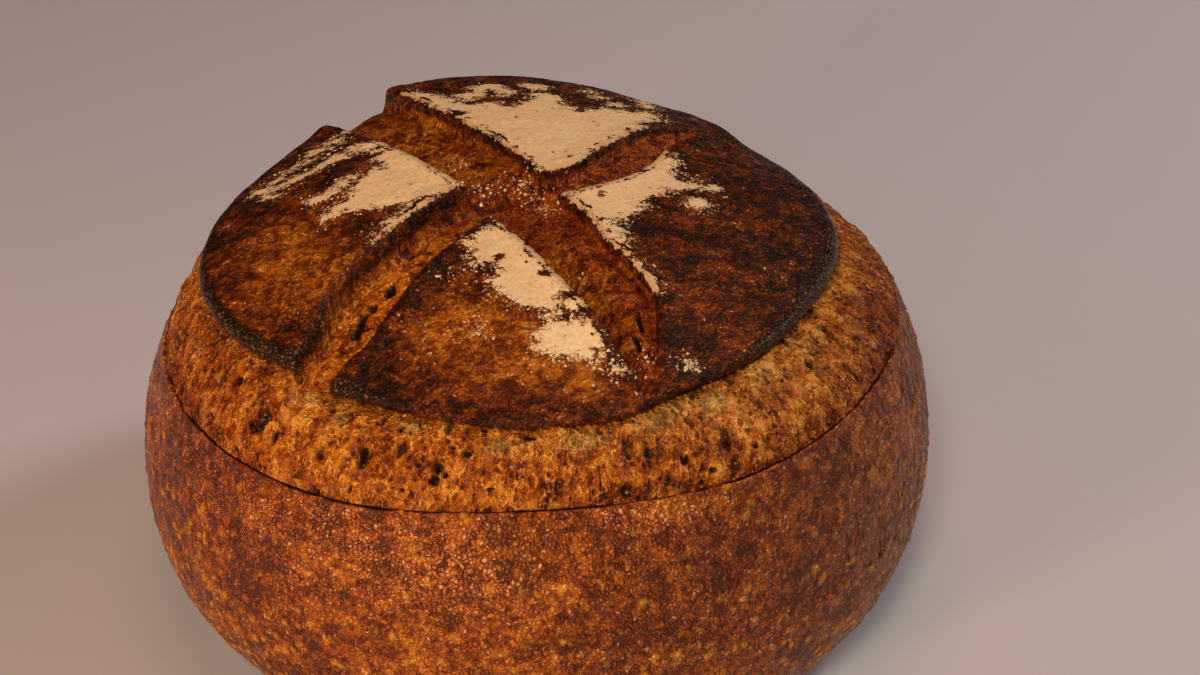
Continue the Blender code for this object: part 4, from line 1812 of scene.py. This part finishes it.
        # Painted shade: a thin dark line along the edges of the cuts, for the shade under their walls.
        painted_cut_shade = 0.36 * bell(off_edge, -0.1 * MM, 0.6 * MM)
        spots = sum(spot.at(x, y) for spot in self.char_spots).reshape(shape)
        wall_out = self.short_places.out().reshape(shape)
        along = self.short_places.share.reshape(shape)
        early = smooth_share(along, 0.12, 0.24) * (1.0 - smooth_share(along, 0.42, 0.56))
        own = form.short_cut.opened(self.short_places).reshape(shape)
        wall = 0.80 * smooth_share(wall_out, 0.66, 0.90) * early * own
        return np.clip(edge * petal + painted_cut_shade + spots + wall, 0.0, 1.0)

    def glazed(self, petal: np.ndarray) -> np.ndarray:
        """How glassy the burnt rim is, only on its right side."""
        right = bell(angle_gap(self.theta, math.radians(352.0)), 0.0, 0.55)
        return 0.32 * right * petal * smooth_share(self.past, 0.0, 0.15)

    def toasted(self, off_edge: np.ndarray) -> np.ndarray:
        """How browned the flour is: most along the cuts, least where it lies thick."""
        thick = self.thick_flour.at(*self.plan).reshape(off_edge.shape)
        return np.maximum(0.62 * bell(off_edge, 0.2 * MM, 1.5 * MM), 0.20 * (1.0 - thick))

    def flour_cover(self, points: np.ndarray, shape: tuple[int, ...]) -> np.ndarray:
        """How surely each point is under flour: 0.5 at the border of a patch, 1 well inside it."""
        x, y = self.plan
        depth = np.full(len(x), -1.0)
        for body in self.flour_bodies + self.flour_streaks:
            depth = np.maximum(depth, body.depth_inside(x, y))
        ragged = NOISE.layers(points * np.array([0.6, 1.4, 1.0]), 5.5 * MM, 141, 5)
        holes = sum(spot.at(x, y) for spot in self.flour_holes)
        depth = depth * self.form.radius + 5.0 * MM * ragged + 0.8 * MM - 9.0 * MM * holes
        off_edge = np.minimum(self.long_places.off_edge(), self.short_places.off_edge())
        off_edge = off_edge * self.form.radius + 1.0 * MM * NOISE.layers(points, 4.0 * MM, 151, 2)
        broken = smooth_share(NOISE.waves(points, 5.0 * MM, 155), -0.3, 0.2)
        depth = depth - 3.4 * MM * bell(off_edge, 1.9 * MM, 0.45 * MM) * broken
        cover = np.clip(0.5 + depth / (2.0 * self.flour_border), 0.0, 1.0).reshape(shape)
        edge = np.minimum(self.long_places.off_edge(), self.short_places.off_edge()) * self.form.radius
        return cover * smooth_share(edge, -0.7 * MM, 0.2 * MM).reshape(shape)


@dataclass
class LooseFlour:
    """Small lumps of flour that lie round the dusted patches and in the score cuts."""

    cap: ScoredCap
    count: int = 900
    radius: tuple[float, float] = (0.14 * MM, 0.68 * MM)
    clusters: tuple[Spot, ...] = (
        Spot(-0.18, 0.15, 0.030, 0.6),
        Spot(-0.20, 0.16, 0.020, 0.5),
        Spot(-0.18, 0.06, 0.020, 0.5),
        Spot(-0.14, 0.04, 0.025, 0.6),
        Spot(-0.12, 0.00, 0.020, 0.6),
        Spot(-0.04, 0.03, 0.035, 1.0),
        Spot(0.00, -0.01, 0.035, 1.0),
        Spot(0.03, -0.07, 0.030, 0.9),
        Spot(0.08, -0.36, 0.030, 0.5),
        Spot(0.18, -0.66, 0.040, 0.7),
        Spot(0.24, -0.62, 0.030, 0.5),
        Spot(0.34, -0.64, 0.016, 0.5),
        Spot(-0.13, -0.52, 0.024, 0.5),
        Spot(-0.20, -0.34, 0.030, 0.4),
    )

    def build(self, maker: PieceMaker, material: bpy.types.Material) -> None:
        """Scatters the lumps, more of them where flour is near."""
        rng = np.random.default_rng(19)
        x, y = self.cap.plan
        skin = self.cap.skin
        cover = skin.masks["flour"].ravel()
        chance = 0.10 * bell(cover, 0.30, 0.14) + sum(spot.at(x, y) for spot in self.clusters)
        chance = np.where(self.cap.past.ravel() > 0.0, 0.0, np.maximum(chance - 0.012, 0.0))
        picks = rng.choice(len(x), self.count, replace=False, p=chance / chance.sum())
        normals = skin.normals().reshape(-1, 3)[picks]
        middles = skin.points.reshape(-1, 3)[picks]
        ball, faces = self.lump()
        size = mix(self.radius[0], self.radius[1], rng.random((self.count, 1, 1)) ** 3.0)
        grown = ball[None] * size * rng.uniform(0.35, 1.35, (self.count, len(ball), 1))
        lift = (grown * normals[:, None]).sum(axis=2, keepdims=True)
        grown = grown - 0.62 * lift * normals[:, None]
        points = middles[:, None] + grown
        corners = faces[None] + len(ball) * np.arange(self.count)[:, None, None]
        mesh = maker.mesh("flour_specks", points.reshape(-1, 3), corners.reshape(-1, 3))
        mesh.polygons.foreach_set("use_smooth", np.ones(len(mesh.polygons), bool))
        maker.place("flour_specks", mesh, material)

    @staticmethod
    def lump() -> tuple[np.ndarray, np.ndarray]:
        """A ball of twenty faces: its points, at distance 1, and its faces."""
        tall = (1.0 + math.sqrt(5.0)) / 2.0
        rows = [(-1, tall, 0), (1, tall, 0), (-1, -tall, 0), (1, -tall, 0)]
        rows += [(0, a, b) for _, a, b in [(0, -1, tall), (0, 1, tall), (0, -1, -tall), (0, 1, -tall)]]
        rows += [(tall, 0, -1), (tall, 0, 1), (-tall, 0, -1), (-tall, 0, 1)]
        faces = [
            (0, 11, 5), (0, 5, 1), (0, 1, 7), (0, 7, 10), (0, 10, 11), (1, 5, 9), (5, 11, 4),
            (11, 10, 2), (10, 7, 6), (7, 1, 8), (3, 9, 4), (3, 4, 2), (3, 2, 6), (3, 6, 8),
            (3, 8, 9), (4, 9, 5), (2, 4, 11), (6, 2, 10), (8, 6, 7), (9, 8, 1),
        ]
        return np.array(rows) / math.hypot(1.0, tall), np.array(faces)


# ---------------------------------------------------------------- studio


@dataclass(frozen=True)
class Lamp:
    """One soft light: where it stands and how large, strong and warm it is."""

    name: str
    place: tuple[float, float, float]
    size: float
    watts: float
    colour: tuple[float, float, float]


@dataclass
class Studio:
    """Plain pale floor, soft lights and the camera."""

    form: LoafForm
    floor_size: float = 6.0
    floor_colour: tuple[float, float, float] = (0.58, 0.560, 0.650)
    camera_back: float = 4.945  # distances from the origin, as shares of the loaf's radius
    camera_up: float = 3.818
    camera_dip: float = 32.29  # degrees below the level
    camera_turn: float = -1.88
    lens: float = 69.21
    lamps: tuple[Lamp, ...] = (
        Lamp("front", (-0.20, -1.10, 1.10), 0.30, 8.6, (1.0, 0.95, 0.66)),
        Lamp("low_left", (-0.58, -0.66, 0.20), 0.16, 4.2, (1.0, 0.60, 0.36)),
        Lamp("top", (0.0, 0.0, 1.50), 0.80, 4.5, (1.0, 0.45, 0.30)),
        Lamp("right", (1.05, 0.45, 0.95), 0.40, 7.0, (1.0, 0.97, 0.86)),
    )
    ambient: tuple[float, float, float] = (0.02, 0.018, 0.018)

    def build(self) -> None:
        """Lays the floor, and sets the lights, the camera and how light turns into colour."""
        self.lay_floor()
        for lamp in self.lamps:
            self.hang(lamp)
        self.set_camera()
        world = bpy.data.worlds.new("soft_room")
        world.use_nodes = True
        world.node_tree.nodes["Background"].inputs["Color"].default_value = (*self.ambient, 1.0)
        bpy.context.scene.world = world
        bpy.context.scene.view_settings.view_transform = "Standard"

    def lay_floor(self) -> None:
        """A plain pale floor under the loaf."""
        half = self.floor_size / 2.0
        corners = [(-half, -half, 0.0), (half, -half, 0.0), (half, half, 0.0), (-half, half, 0.0)]
        mesh = bpy.data.meshes.new("floor")
        mesh.from_pydata(corners, [], [(0, 1, 2, 3)])
        material, graph = new_material("pale_floor")
        cloud = graph.noise(graph.place(), 0.02, 3.0, 0.5)
        paler = tuple(min(1.0, 1.02 * value) for value in self.floor_colour)
        colour = graph.blend(cloud, self.floor_colour, paler)
        shader_of(graph, Gloss((0.7, 0.7), 0.2, 0.0, 0.02 * MM), colour, cloud, cloud)
        mesh.materials.append(material)
        floor = bpy.data.objects.new("floor", mesh)
        bpy.context.scene.collection.objects.link(floor)

    def hang(self, lamp: Lamp) -> None:
        """Hangs one light, turned towards the loaf."""
        data = bpy.data.lights.new(lamp.name, "AREA")
        data.shape = "DISK"
        data.size = lamp.size
        data.energy = lamp.watts
        data.color = lamp.colour
        light = bpy.data.objects.new(lamp.name, data)
        light.location = lamp.place
        aim = Vector((0.0, 0.0, 0.6 * self.form.radius)) - light.location
        light.rotation_euler = aim.to_track_quat("-Z", "Y").to_euler()
        bpy.context.scene.collection.objects.link(light)

    def set_camera(self) -> None:
        """Stands the camera in front of the loaf and above it."""
        data = bpy.data.cameras.new("camera")
        data.lens = self.lens
        data.sensor_width = 36.0
        data.clip_start = 0.01
        camera = bpy.data.objects.new("camera", data)
        radius = self.form.radius
        camera.location = (0.0, -self.camera_back * radius, self.camera_up * radius)
        tip = math.radians(90.0 - self.camera_dip)
        camera.rotation_euler = (tip, 0.0, math.radians(self.camera_turn))
        bpy.context.scene.collection.objects.link(camera)
        bpy.context.scene.camera = camera


# ---------------------------------------------------------------- the whole loaf


def main() -> None:
    """Builds the loaf's sub-assemblies and the studio in order."""
    logging.basicConfig(level=logging.INFO, format="%(name)s: %(message)s")
    low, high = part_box(NODE)
    form = LoafForm(radius=(high.x - low.x) / 2.0)
    effects = Effects()
    maker = PieceMaker()
    side = SideCrustFinish().material(effects)
    SideCrust(form).build(maker, side)
    FootCrust(form).build(maker, side)
    BurstBand(form).build(maker, CrumbFinish().material(effects))
    cap = ScoredCap(form)
    cap.build(maker, TopCrustFinish().material(effects))
    LooseFlour(cap).build(maker, FlourFinish().material(effects))
    Studio(form).build()
    log.info("%d pieces made", len(maker.made))


if __name__ == "__main__":
    main()
